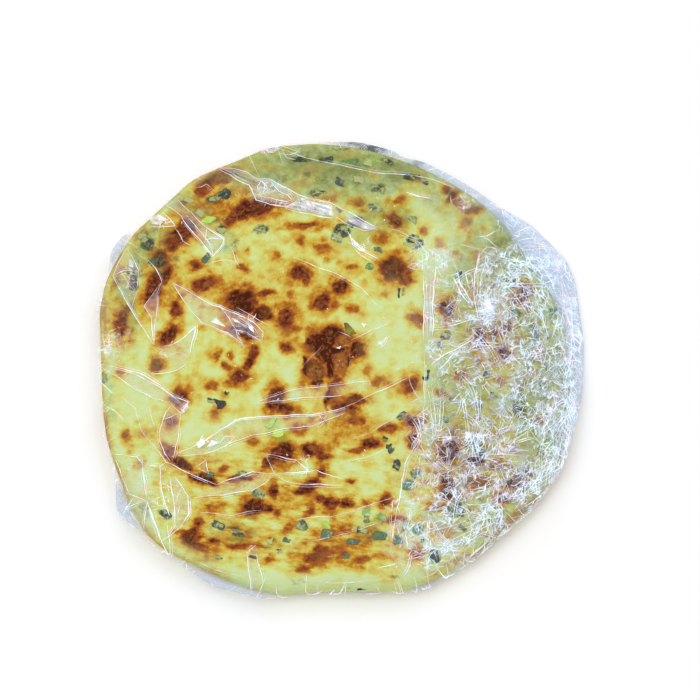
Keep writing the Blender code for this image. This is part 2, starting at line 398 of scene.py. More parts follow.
class Wire:
    # one output of a shader node, so that shader maths reads as plain sums
    def __init__(self, tree, socket=None):
        self.tree = tree
        self.socket = socket

    def node(self, kind, settings=None, sockets=None, out=0):
        made = self.tree.nodes.new('ShaderNode' + kind)
        for name, value in (settings or {}).items():
            if name == 'stops':
                self.setStops(made.color_ramp, value)
            else:
                setattr(made, name, value)
        for name, value in (sockets or {}).items():
            self.plug(self.find(made.inputs, name), value)
        return Wire(self.tree, self.find(made.outputs, out))

    def setStops(self, ramp, stops):
        while len(ramp.elements) < len(stops):
            ramp.elements.new(0.5)
        for element, (place, colour) in zip(ramp.elements, stops):
            element.position = place
            element.color = asColour(colour)

    def find(self, sockets, name):
        if isinstance(name, int):
            return sockets[name]
        return next(s for s in sockets if s.enabled and name in (s.name, s.identifier))

    def plug(self, socket, value):
        if isinstance(value, Wire):
            self.tree.links.new(value.socket, socket)
        else:
            socket.default_value = value

    def maths(self, operation, first, second=0.0):
        return self.node('Math', {'operation': operation}, {0: first, 1: second})

    def __add__(self, other):
        return self.maths('ADD', self, other)

    def __radd__(self, other):
        return self.maths('ADD', other, self)

    def __sub__(self, other):
        return self.maths('SUBTRACT', self, other)

    def __rsub__(self, other):
        return self.maths('SUBTRACT', other, self)

    def __mul__(self, other):
        return self.maths('MULTIPLY', self, other)

    def __rmul__(self, other):
        return self.maths('MULTIPLY', other, self)

    def atLeast(self, other):
        return self.maths('MAXIMUM', self, other)

    def atMost(self, other):
        return self.maths('MINIMUM', self, other)

    def ramp(self, stops):
        return self.node('ValToRGB', {'stops': stops}, {0: self})

    def between(self, low, high):
        return self.node('MapRange', {'interpolation_type': 'SMOOTHSTEP', 'clamp': True},
                         {'Value': self, 'From Min': low, 'From Max': high})

    def mixColours(self, first, second):
        # each is a wire or a colour as the eye sees it
        pair = [asColour(tone) if isinstance(tone, tuple) else tone for tone in (first, second)]
        return self.node('Mix', {'data_type': 'RGBA'},
                         {'Factor_Float': self, 'A_Color': pair[0], 'B_Color': pair[1]}, 'Result_Color')

    def mixShaders(self, first, second):
        return self.node('MixShader', {}, {0: self, 1: first, 2: second})

    def clear(self):
        return self.node('BsdfTransparent')

    def paintedGlow(self, colour, roughness, glow):
        # a surface that also shines a little by itself: a painted glow that brightens the film's whites and
        # its painted highlights
        return self.node('BsdfPrincipled', {}, {
            'Base Color': colour, 'Roughness': roughness,
            'Emission Color': colour, 'Emission Strength': glow,
        })

    def bump(self, strength, distance):
        # this as a height, turned into the way that the surface faces
        return self.node('Bump', {}, {'Strength': strength, 'Distance': distance, 'Height': self},
                         'Normal')

    def field(self, name):
        return self.node('Attribute', {'attribute_name': name}, {}, 'Fac')

    def noise(self, place, scale, detail=3.0, roughness=0.5):
        return self.node('TexNoise', {},
                         {'Vector': place, 'Scale': scale, 'Detail': detail, 'Roughness': roughness}, 'Fac')

    def noiseColour(self, place, scale):
        return self.node('TexNoise', {}, {'Vector': place, 'Scale': scale, 'Detail': 2.0}, 'Color')

    def cells(self, place, scale, out):
        return self.node('TexVoronoi', {}, {'Vector': place, 'Scale': scale}, out)

    def cellEdges(self, place, scale):
        return self.node('TexVoronoi', {'feature': 'DISTANCE_TO_EDGE'},
                         {'Vector': place, 'Scale': scale})

    def stretched(self, turn, squeeze, shift):
        # drawn out along the direction of the turn
        return self.node('Mapping', {'vector_type': 'TEXTURE'}, {
            'Vector': self, 'Location': (shift, 0.0, shift), 'Rotation': (0.0, 0.0, math.radians(turn)),
            'Scale': (1.0 / squeeze, 1.0, 1.0),
        })

    def shiftedBy(self, colour, reach):
        # moved about by a noise's colour, up to the reach each way
        centred = self.node('VectorMath', {'operation': 'SUBTRACT'},
                            {0: colour, 1: (0.5, 0.5, 0.5)})
        return self.node('VectorMath', {'operation': 'MULTIPLY_ADD'},
                         {0: centred, 1: (reach, reach, reach), 2: self})


def asColour(colour):
    # a colour given as the eye sees it, 0 to 255, for Blender's linear sockets
    def linear(value):
        value = value / 255
        return value / 12.92 if value <= 0.04045 else ((value + 0.055) / 1.055) ** 2.4
    return tuple(linear(value) for value in colour) + (1.0,)


def newMaterial(name):
    material = bpy.data.materials.new(name)
    material.use_nodes = True
    tree = material.node_tree
    tree.nodes.clear()
    start = Wire(tree)
    place = start.node('TexCoord', {}, {}, 'Object')
    return material, start, place


def finishMaterial(material, shader):
    output = material.node_tree.nodes.new('ShaderNodeOutputMaterial')
    shader.plug(output.inputs['Surface'], shader)
    return material


# The loaf

patirSpec = {
    'cells': 60,
    'cuts': 3,
    'rowsAbove': 8,
    'rowsBelow': 4,
    'crag': 0.35 * mm,  # roughness of the browned skin
    'cragLength': 3.0 * mm,
    'cragBrown': (0.4, 0.9),  # browning at which it starts and is full
    'ripple': 0.35 * mm,
    'rippleLength': 14.0 * mm,
    'rippleSink': 0.4,
    'mostRise': 0.15 * mm,  # crag and ripple together, so that they stay under the film
    'underside': 0.12,  # least browning there
    'topEnds': (8.0, 11.0),  # rows over which the top's browning gives way to it
    'crispEdge': (0.55, 1.28),  # where a dark spot starts to fade and has gone, of its half size
    'softEdge': (0.30, 1.50),
    'crispFrom': 0.6,  # spots darker than this have a crisp edge
    'halo': 0.45,  # browning round a spot, of the spot's own
    'haloEdge': (0.8, 2.3),
    'haloBelow': 20,  # pixels of half size, larger washes have no halo
    'edgeWander': 3.2,  # pixels that a spot's edge wanders
    'edgeWanderLength': 5.5 * mm,
    'finerWander': (0.5, 2.2),  # a second wander: share of the first, and how much finer
    'rimBand': (7.0, 2.2),  # row of the browned edge, and how many rows it fades over
    'rimPatches': (0.62, 0.9, 0.4),  # its middle browning, broad patches and small ones
    'rimPatchLengths': (16.0 * mm, 6.0 * mm),
    'rimPale': (5.0, 22.0, 70.0, 86.0),  # degrees between which the rim is pale
    'rimPaleShare': 0.9,
    'rimBrown': (0.62, 0.40),  # browning at the back, and how much less in front
    'rimFront': (545.0, 590.0),  # pixels down over which it lessens
    'herbEdge': (0.4, 1.4),
    'leafEdge': (0.65, 1.35),
    'leafWander': 1.2,  # pixels
    'leafWanderLength': 3.0 * mm,
    'rawSide': 0.6,
    'rawSideRows': (1.0, 4.0),
    'drawnOut': (425.0, 455.0),  # pixels down over which the spots get drawn out sideways
    'noises': {'broad': (125.0, 3.0, 0.55), 'patch': (230.0, 3.0, 0.6), 'grit': (620.0, 3.0, 0.6),
               'fine': (1500.0, 2.0, 0.6), 'under': (48.0, 3.0, 0.6), 'sweep': (330.0, 3.0, 0.6),
               'crustAndReflection': (520.0, 2.0, 0.5), 'herbs': (170.0, 4.0, 0.65)},
    'bubbleScale': 150.0,
    'poreScale': 420.0,
    'relief': 0.0009,
    # colours of the skin; the last of them is the colour of painted shade
    'colours': {'crustAndReflection': (168, 112, 54), 'raw': (200, 214, 152), 'herbs': (112, 124, 82),
                'leafDark': (52, 62, 46), 'leafGrey': (112, 124, 92), 'lime': (150, 196, 60),
                'dull': (118, 124, 62)},
    # from unbaked to charred
    'baking': (
        (0.00, (202, 218, 160)), (0.10, (203, 215, 140)), (0.18, (205, 205, 112)), (0.28, (203, 186, 88)),
        (0.38, (198, 160, 60)), (0.48, (182, 122, 36)), (0.60, (158, 92, 36)), (0.74, (130, 64, 34)),
        (0.88, (104, 46, 28)), (1.00, (72, 28, 14)),
    ),
}

# Browned spots: x and y in the picture, half width, half height, turn in degrees, how dark
toastSpots = (
    (242, 302, 19, 14, -12, 0.92), (262, 314, 10, 9, 0, 0.86), (243, 331, 16, 8, -15, 0.86),
    (286, 318, 11, 13, 0, 0.8), (300, 272, 11, 9, 0, 0.84), (307, 280, 5, 7, 0, 0.74),
    (322, 301, 10, 11, 0, 0.84), (340, 287, 8, 9, 30, 0.84), (204, 284, 15, 8, 18, 0.72),
    (176, 309, 6, 10, 15, 0.8), (169, 336, 7, 14, -38, 0.84), (156, 366, 7.5, 7.5, 0, 0.82),
    (217, 355, 6, 6, 0, 0.6), (229, 355, 3, 5, 0, 0.56), (227, 367, 5, 5, 0, 0.56),
    (253, 352, 5, 8, 0, 0.72), (249, 364, 6, 8, -20, 0.76), (241, 377, 11, 8, 10, 0.76),
    (287, 346, 6, 6, 0, 0.7), (242, 266, 5, 5, 0, 0.64), (236, 255, 4, 4, 0, 0.54),
    (276, 256, 5, 6, 0, 0.54), (247, 251, 4, 3, 0, 0.5), (266, 293, 10, 4, 10, 0.66),
    (305, 225, 26, 4, 0, 0.56), (306, 224, 8, 1.8, -3, 0.74), (301, 241, 7, 7, 0, 0.5),
    (324, 248, 10, 7, -20, 0.48), (196, 265, 8, 6, 0, 0.56), (220, 177, 27, 8, 20, 0.84),
    (205, 188, 14, 7, 35, 0.62), (252, 209, 27, 9, 8, 0.86), (232, 218, 12, 8, 30, 0.66),
    (184, 231, 11, 16, -40, 0.8), (172, 245, 10, 9, 0, 0.76), (160, 259, 9, 10, 0, 0.78),
    (154, 288, 9, 20, -16, 0.82), (166, 274, 6, 14, -10, 0.76), (121, 323, 8, 16, 6, 0.78),
    (126, 309, 7, 7, 0, 0.58), (310, 170, 14, 9, 10, 0.5), (118, 262, 2.5, 20, -24, 0.54),
    (322, 342, 17, 12, 20, 1.0), (334, 333, 14, 7, -10, 0.92), (315, 371, 12, 13, 14, 0.84),
    (324, 354, 9, 10, 0, 0.94), (341, 363, 10, 13, 0, 0.72), (357, 349, 9, 11, 0, 0.98),
    (335, 384, 6, 10, 0, 0.56), (334, 396, 6, 13, 0, 0.6), (355, 401, 15, 5, 8, 0.82),
    (346, 410, 14, 5, -18, 0.62), (357, 421, 12, 5, -8, 0.62), (343, 339, 9, 8, 0, 0.66),
    (393, 269, 15, 14, 0, 0.84), (403, 277, 10, 8, 0, 0.74), (395, 221, 11, 6, -42, 0.76),
    (359, 202, 8, 6, 0, 0.52), (382, 239, 9, 6, -40, 0.54), (423, 231, 5, 5, 0, 0.54),
    (447, 309, 8, 11, 15, 0.88), (417, 319, 8, 7, 0, 0.62), (354, 309, 9, 7, 0, 0.5),
    (351, 267, 8, 6, 0, 0.46), (384, 294, 5, 5, 0, 0.48), (367, 371, 5, 7, 0, 0.44),
    (381, 376, 9, 7, 0, 0.26), (410, 385, 8, 11, -15, 0.78), (446, 188, 5, 5, 0, 0.8),
    (453, 196, 11, 5, 48, 0.84), (458, 203, 6, 5, 0, 0.82), (474, 209, 12, 4.5, 18, 0.82),
    (464, 223, 6, 11, -12, 0.54), (468, 236, 3.5, 9, -8, 0.5), (484, 228, 5, 6, 0, 0.36),
    (439, 243, 6, 5, 0, 0.38), (457, 256, 5, 7, 0, 0.38), (460, 206, 7, 8, 0, 0.5),
    (525, 291, 9, 8, 30, 0.9), (493, 284, 5, 5, 0, 0.66), (481, 338, 8, 11, 10, 0.94),
    (504, 353, 9, 8, -20, 0.98), (494, 334, 7, 6, 0, 0.74), (277, 397, 8, 12, 8, 0.84),
    (272, 400, 5, 13, -14, 0.8), (285, 409, 12, 7, -12, 0.88), (179, 396, 9, 11, -10, 0.76),
    (171, 398, 7, 4, 0, 0.6), (212, 386, 9, 6, 0, 0.48), (213, 415, 7, 5, 0, 0.46),
    (127, 437, 6, 9, 0, 0.46), (130, 450, 4, 8, 0, 0.42), (121, 371, 5, 4, 0, 0.54),
    (169, 422, 7, 9, -20, 0.52), (146, 432, 14, 8, 20, 0.36), (182, 463, 16, 5, -26, 0.88),
    (203, 479, 17, 5, -14, 0.88), (168, 452, 7, 8, 0, 0.74), (223, 467, 8, 5, 20, 0.54),
    (240, 478, 18, 4, 6, 0.66), (281, 453, 14, 11, 30, 0.93), (268, 462, 9, 7, 20, 0.84),
    (313, 449, 14, 7, -8, 0.8), (323, 456, 8, 5, 0, 0.66), (308, 487, 15, 7, 32, 0.82),
    (321, 472, 6, 8, 0, 0.72), (253, 506, 14, 8, 16, 0.9), (273, 492, 5, 10, -8, 0.8),
    (263, 508, 12, 5, 10, 0.78), (213, 508, 10, 8, 0, 0.54), (140, 464, 10, 5, 30, 0.44),
    (199, 521, 7, 4, 0, 0.64), (191, 537, 12, 10, -10, 0.86), (199, 546, 15, 6, -16, 0.76),
    (214, 540, 9, 5, 0, 0.6), (240, 546, 16, 4, 4, 0.5), (210, 558, 12, 4, -10, 0.52),
    (331, 503, 10, 8, 0, 0.78), (320, 499, 6, 6, 0, 0.6), (277, 514, 6, 5, 0, 0.56),
    (309, 512, 9, 4, 0, 0.58), (288, 527, 7, 6, 0, 0.56), (318, 556, 18, 11, 18, 0.64),
    (338, 552, 14, 9, 20, 0.62), (304, 570, 12, 5, 10, 0.56), (270, 558, 8, 5, 0, 0.54),
    (380, 381, 10, 8, 0, 0.48), (414, 422, 11, 7, 16, 0.74), (388, 428, 13, 5, 6, 0.62),
    (371, 443, 10, 6, 10, 0.82), (357, 450, 12, 4, 15, 0.6), (413, 441, 6, 9, 10, 0.7),
    (449, 450, 13, 12, 30, 0.94), (473, 462, 9, 8, -20, 0.9), (447, 487, 9, 14, 10, 0.9),
    (475, 485, 12, 9, 0, 0.54), (497, 465, 9, 8, 0, 0.46), (430, 505, 9, 7, 0, 0.5),
    (446, 533, 12, 5, -20, 0.54), (517, 483, 10, 10, -30, 1.02), (505, 499, 10, 5, 30, 0.62),
    (442, 394, 8, 4, -20, 0.7), (478, 418, 5, 5, 0, 0.52), (507, 448, 11, 7, 0, 0.42),
    (541, 420, 9, 6, 0, 0.66), (347, 504, 8, 5, 8, 0.76), (366, 503, 7, 5, 0, 0.58),
    (386, 501, 9, 5, 8, 0.66), (351, 480, 5, 2.5, 0, 0.6), (418, 553, 11, 8, 20, 0.54),
    (362, 560, 15, 5, 8, 0.6), (444, 535, 7, 6, 0, 0.52), (389, 579, 10, 5, 5, 0.44),
    (432, 573, 8, 5, 0, 0.46), (340, 530, 16, 10, 0, 0.48), (395, 520, 12, 7, 0, 0.48),
    (300, 430, 12, 8, 0, 0.46), (254, 440, 10, 6, 0, 0.46), (252, 325, 30, 24, 0, 0.26),
    (330, 360, 34, 40, 0, 0.26), (290, 290, 40, 26, 0, 0.2), (345, 425, 40, 22, 10, 0.3),
    (300, 500, 60, 24, 0, 0.26), (345, 545, 60, 22, 0, 0.32), (240, 535, 50, 20, -10, 0.26),
    (200, 470, 36, 16, -10, 0.34), (215, 200, 50, 22, 25, 0.34), (160, 280, 20, 46, -20, 0.34),
    (440, 470, 40, 40, 0, 0.2), (326, 343, 10, 7, 0, 1.1), (330, 353, 5, 9, 0, 1.2),
    (330, 366, 3.4, 15, 3, 1.2), (308, 342, 4, 5, 30, 0.95), (304, 366, 2.2, 12, 6, 0.98),
    (338, 350, 12, 2.2, 4, 1.1), (317, 383, 8, 2.4, 6, 0.98), (349, 360, 1.8, 8, 0, 0.95),
    (348, 406, 13, 2.6, -14, 0.98), (328, 396, 2.2, 14, -8, 0.86), (332, 392, 6, 15, -14, 0.7),
    (338, 407, 8, 9, -20, 0.72), (335, 378, 6, 6, 0, 0.66), (358, 351, 11, 14, 0, 0.4),
    (104, 320, 4, 34, 0, 0.52), (100, 372, 3.5, 30, 0, 0.5), (106, 424, 4, 26, 8, 0.44),
    (526, 306, 4, 5, 0, 0.74), (518, 299, 9, 6, 0, 0.66), (473, 293, 4, 11, 0, 0.52),
    (476, 256, 5, 7, 0, 0.5), (507, 327, 6, 7, 0, 0.74), (518, 341, 5, 9, 0, 0.54),
    (537, 423, 8, 4, -20, 0.66), (514, 447, 11, 5, -25, 0.56), (509, 463, 7, 9, 0, 0.4),
    (508, 429, 6, 2.5, 10, 0.76), (512, 484, 8, 8, 0, 1.0), (528, 474, 4, 6, 0, 0.86),
    (481, 459, 5, 8, 0, 0.9), (480, 481, 9, 7, 0, 0.6), (500, 497, 8, 6, 0, 0.76),
    (462, 290, 5, 9, 0, 0.46), (540, 350, 7, 9, 0, 0.46), (556, 400, 5, 12, 0, 0.44),
    (455, 430, 8, 9, 0, 0.38), (440, 505, 6, 10, 0, 0.42), (475, 530, 14, 7, -24, 0.36),
    (500, 380, 10, 7, 0, 0.6), (530, 372, 8, 6, 0, 0.6), (460, 375, 9, 6, 0, 0.6),
    (495, 340, 44, 60, 0, 0.25), (490, 440, 60, 56, 0, 0.22), (455, 520, 50, 30, -20, 0.16),
    (540, 300, 20, 40, -20, 0.16), (116, 280, 4, 22, -20, 0.5), (140, 232, 4, 20, -38, 0.46),
    (512, 517, 5, 44, -46, 0.56), (464, 557, 5, 36, -62, 0.5), (558, 478, 3.5, 30, 26, 0.44),
    (255, 149, 26, 3, -14, 0.4), (220, 170, 14, 4, -30, 0.5), (268, 168, 16, 5, -8, 0.5),
    (300, 184, 20, 4, 8, 0.46), (345, 158, 12, 5, 0, 0.44), (372, 172, 8, 5, 0, 0.46),
    (416, 178, 10, 5, 14, 0.44), (250, 190, 12, 5, 20, 0.52), (330, 196, 14, 4, 12, 0.46),
    (398, 200, 8, 5, 30, 0.48),
)


def ellipseReach(across, down, spot):
    # 0 at a spot's middle, 1 at its edge
    x, y, halfWide, halfHigh, turn = spot[:5]
    c, s = math.cos(math.radians(turn)), math.sin(math.radians(turn))
    dx, dy = across - x, y - down
    return np.hypot((dx * c + dy * s) / halfWide, (dy * c - dx * s) / halfHigh)


def toastField(places):
    # 0 pale dough to 1 charred: soft hills that the shader's noise cuts into ragged spots
    spec = patirSpec
    wander, length = spec['edgeWander'], spec['edgeWanderLength']
    finer, finerLength = spec['finerWander'][0] * wander, length / spec['finerWander'][1]
    across, down = toPixels(places)
    across = across + wander * waves(places, length, 4.0) + finer * waves(places, finerLength, 9.0)
    down = down + wander * waves(places, length, 7.0) + finer * waves(places, finerLength, 12.0)
    toast = np.zeros(len(places))
    for spot in toastSpots:
        reach = ellipseReach(across, down, spot)
        dark = spot[5]
        edge = spec['crispEdge'] if dark > spec['crispFrom'] else spec['softEdge']
        toast = np.maximum(toast, dark * (1.0 - smoothStep(*edge, reach)))
        if min(spot[2], spot[3]) < spec['haloBelow']:
            toast = np.maximum(toast, spec['halo'] * dark * (1.0 - smoothStep(*spec['haloEdge'], reach)))
    return toast


# Zones below: x and y in the picture, half width, half height, turn in degrees, amount

# Where leaves show grey-green through the skin
herbZones = (
    (125, 300, 14, 60, 12, 0.75), (150, 245, 20, 34, -30, 0.75), (195, 212, 42, 18, -35, 0.75),
    (220, 238, 30, 18, -20, 0.6), (255, 175, 46, 16, 20, 0.6), (330, 165, 60, 16, -4, 0.9),
    (400, 172, 36, 14, -14, 0.8), (380, 212, 50, 22, -24, 0.6), (450, 200, 30, 14, -30, 0.5),
    (500, 250, 22, 34, -30, 0.6), (535, 330, 24, 46, -10, 0.7), (520, 410, 34, 30, 0, 0.6),
    (460, 335, 30, 60, 0, 0.4), (110, 400, 10, 40, 0, 0.5), (140, 505, 26, 20, -40, 0.5),
    (230, 530, 40, 16, -15, 0.55), (290, 545, 50, 12, -8, 0.4), (380, 530, 44, 16, 8, 0.6),
    (440, 520, 36, 26, 20, 0.55), (270, 430, 22, 14, 0, 0.3), (250, 490, 26, 10, 0, 0.3),
    (400, 470, 22, 30, 0, 0.4),
)

# Where the dough stays pale and unbaked
rawZones = (
    (300, 588, 150, 14, 0, 1.0), (420, 578, 60, 12, 16, 0.8), (210, 572, 40, 12, -28, 0.5),
    (540, 420, 40, 90, 0, 0.35), (470, 250, 60, 50, -30, 0.4), (320, 172, 110, 28, 0, 0.8),
    (145, 400, 30, 50, 0, 0.4), (135, 470, 24, 40, -15, 0.4), (390, 330, 30, 60, 0, 0.25),
    (205, 440, 30, 30, 0, 0.3), (120, 560, 20, 40, 30, 0.3), (380, 345, 16, 20, 0, 0.55),
    (382, 404, 13, 20, 0, 0.5), (352, 320, 12, 7, 0, 0.5), (292, 372, 9, 12, 0, 0.45),
    (353, 379, 9, 6, 0, 0.5), (294, 395, 9, 5, 0, 0.45), (432, 206, 20, 14, 0, 0.4),
    (500, 262, 24, 20, 0, 0.3), (440, 400, 26, 30, 0, 0.35), (500, 400, 30, 40, 0, 0.35),
    (470, 540, 50, 16, -30, 0.4),
)

# Painted shade: where the skin is darker and greyer, as in the shade under the doubled film
paintedShadeZones = (
    (330, 170, 110, 32, -2, 1.05), (450, 196, 60, 26, -28, 0.55), (500, 300, 60, 90, 0, 1.1),
    (540, 400, 40, 90, 0, 1.25), (470, 420, 50, 90, 0, 1.0), (500, 500, 60, 50, 30, 0.85),
    (150, 250, 26, 50, -30, 0.22), (430, 330, 10, 60, 0, 0.4), (380, 222, 50, 22, 28, 0.4),
    (118, 300, 14, 60, 10, 0.15),
)
# Lighter tan patches over the darkest spots: partly drier skin lifted there, partly painted reflection from
# the folded film's faces over them
tanAndReflectionPatches = (
    (315, 372, 9, 9, 20, 0.7), (337, 392, 5, 10, 0, 0.8), (344, 339, 7, 6, 0, 0.9),
    (341, 364, 7, 11, 0, 1.0), (359, 349, 4, 7, 0, 0.25), (311, 352, 4, 7, -20, 0.35),
    (266, 313, 5, 6, 0, 0.4), (284, 332, 7, 7, 0, 0.5), (352, 400, 10, 4, 14, 0.4),
    (345, 416, 12, 5, 12, 0.6), (286, 396, 5, 7, 0, 0.3), (262, 492, 8, 5, 10, 0.4),
    (236, 486, 16, 6, 6, 0.35), (210, 548, 12, 5, -10, 0.4), (330, 552, 22, 9, 14, 0.45),
    (396, 262, 5, 6, 0, 0.3), (236, 192, 18, 6, 20, 0.35),
)


def zoneField(places, zones, edge=(0.5, 1.3)):
    # the strongest zone's amount at each place, fading out over the edge, in half sizes
    across, down = toPixels(places)
    amount = np.zeros(len(places))
    for zone in zones:
        reach = ellipseReach(across, down, zone)
        amount = np.maximum(amount, zone[5] * (1.0 - smoothStep(*edge, reach)))
    return amount


def rimToast(places, rows):
    # the edge of the disc touches the pan: a browned band with gaps, weakest at the pale front
    spec = patirSpec
    across, down = toPixels(places - middle)
    band = np.exp(-((rows - spec['rimBand'][0]) / spec['rimBand'][1]) ** 2)
    level, broad, small = spec['rimPatches']
    broadLength, smallLength = spec['rimPatchLengths']
    uneven = level + broad * waves(places, broadLength, 21.0) + small * waves(places, smallLength, 23.0)
    angle = np.degrees(np.arctan2(places[:, 1], places[:, 0])) % 360.0
    front = spec['rimBrown'][0] - spec['rimBrown'][1] * smoothStep(*spec['rimFront'], down)
    pale = spec['rimPaleShare'] * within(angle, *spec['rimPale'])
    return band * np.clip(uneven, 0.0, 1.0) * front * (1.0 - pale)


# Leaves under the dough's skin: x, y, half width, half height, turn, dark amount, lime amount
buriedLeaves = (
    (225, 194, 7, 5, 10, 0.95, 0), (212, 199, 8, 4, 15, 0.7, 0), (189, 200, 6, 3, 30, 0.7, 0),
    (221, 229, 6, 5, 50, 0.7, 0), (261, 229, 9, 6, 10, 0.6, 0), (342, 231, 9, 8, -20, 0.85, 0),
    (357, 222, 8, 5, -25, 0.8, 0), (318, 193, 8, 3, 10, 0.8, 0), (301, 159, 13, 3.5, -5, 0.7, 0),
    (326, 160, 9, 3.5, -8, 0.65, 0), (340, 148, 11, 3, -3, 0.6, 0), (147, 244, 8, 8, 0, 0.75, 0),
    (144, 233, 6, 4, 0, 0.5, 0), (134, 283, 5, 9, 10, 0.9, 0), (160, 264, 10, 12, 0, 0.45, 0),
    (204, 241, 8, 6, 0, 0.4, 0), (208, 258, 4, 7, 10, 0.55, 0), (136, 270, 8, 14, 10, 0.45, 0),
    (269, 164, 12, 8, 0, 0.22, 0.05), (340, 182, 5, 3.5, 20, 0.7, 0), (378, 188, 8, 4, 22, 0.75, 0),
    (359, 180, 6, 5, 0, 0.5, 0), (412, 177, 9, 3.5, -5, 0.85, 0), (424, 180, 5, 3, 0, 0.6, 0),
    (348, 162, 11, 3, 0, 0.4, 0.3), (387, 161, 7, 3, -20, 0.6, 0), (375, 207, 9, 5, -25, 0.5, 0),
    (415, 242, 9, 7, -20, 0.8, 0), (495, 250, 7, 9, 0, 0.55, 0), (512, 284, 6, 6, 0, 0.7, 0),
    (514, 314, 8, 6, 30, 0.6, 0), (553, 315, 5, 9, -10, 0.6, 0.1), (535, 336, 4, 11, -8, 0.8, 0),
    (446, 335, 6, 4, 30, 0.8, 0), (519, 406, 7, 13, 0, 0.85, 0), (542, 385, 3, 6, 0, 0.8, 0),
    (478, 449, 9, 5, -35, 0.8, 0), (468, 446, 5, 5, 0, 0.5, 0), (416, 474, 7, 6, 20, 0.6, 0),
    (407, 485, 7, 6, 0, 0.6, 0.1), (210, 475, 5, 3, 0, 0.8, 0), (241, 474, 7, 3, 8, 0.8, 0),
    (259, 493, 7, 5, 0, 0.35, 0.1), (218, 525, 8, 4, -15, 0.75, 0), (236, 538, 11, 6, 0, 0.35, 0.1),
    (303, 526, 7, 6, 30, 0.6, 0), (327, 535, 7, 7, 0, 0.45, 0), (166, 514, 8, 4, -30, 0.75, 0),
    (144, 506, 6, 4, 0, 0.5, 0), (104, 378, 4, 7, 0, 0.5, 0), (110, 416, 5, 8, 0, 0.3, 0),
    (293, 566, 10, 4, 15, 0.25, 0.1), (236, 561, 14, 4, -8, 0.25, 0.1), (380, 536, 9, 5, 0, 0.6, 0),
    (397, 464, 4, 6, 20, 0.7, 0), (378, 517, 7, 6, 0, 0.3, 0.15), (368, 513, 5, 4, 0, 0.4, 0),
    (435, 556, 8, 7, 0, 0.6, 0), (455, 511, 11, 8, 0, 0.55, 0.1), (282, 435, 9, 7, -20, 0.15, 0.35),
    (272, 424, 8, 8, 0, 0.15, 0.4), (226, 392, 6, 5, 0, 0.3, 0), (345, 452, 8, 6, 0, 0.25, 0),
    (364, 438, 6, 6, 0, 0.25, 0), (372, 160, 10, 6, -8, 0.3, 0.4), (262, 572, 8, 4, 10, 0.3, 0),
    (300, 582, 12, 4, 5, 0.3, 0), (345, 588, 9, 4, 0, 0.35, 0.1), (395, 575, 8, 4, -5, 0.35, 0),
    (280, 178, 9, 6, 0, 0.4, 0), (306, 176, 7, 4, 20, 0.5, 0), (236, 244, 7, 5, 10, 0.4, 0),
    (176, 262, 6, 8, 0, 0.4, 0), (322, 180, 9, 5, 0, 0.4, 0), (232, 530, 10, 5, 0, 0.4, 0),
    (249, 521, 9, 5, 10, 0.35, 0.05), (268, 546, 9, 5, 0, 0.4, 0), (291, 534, 9, 4, 0, 0.4, 0.05),
    (430, 200, 14, 6, -20, 0.2, 0), (500, 240, 16, 8, -40, 0.25, 0), (560, 370, 8, 16, 0, 0.25, 0),
)


def leafFields(places):
    wander, length = patirSpec['leafWander'], patirSpec['leafWanderLength']
    across, down = toPixels(places)
    across = across + wander * waves(places, length, 14.0)
    down = down + wander * waves(places, length, 17.0)
    dark = np.zeros(len(places))
    lime = np.zeros(len(places))
    for leaf in buriedLeaves:
        cover = 1.0 - smoothStep(*patirSpec['leafEdge'], ellipseReach(across, down, leaf))
        dark = np.maximum(dark, leaf[5] * cover)
        lime = np.maximum(lime, leaf[6] * cover)
    return dark, lime


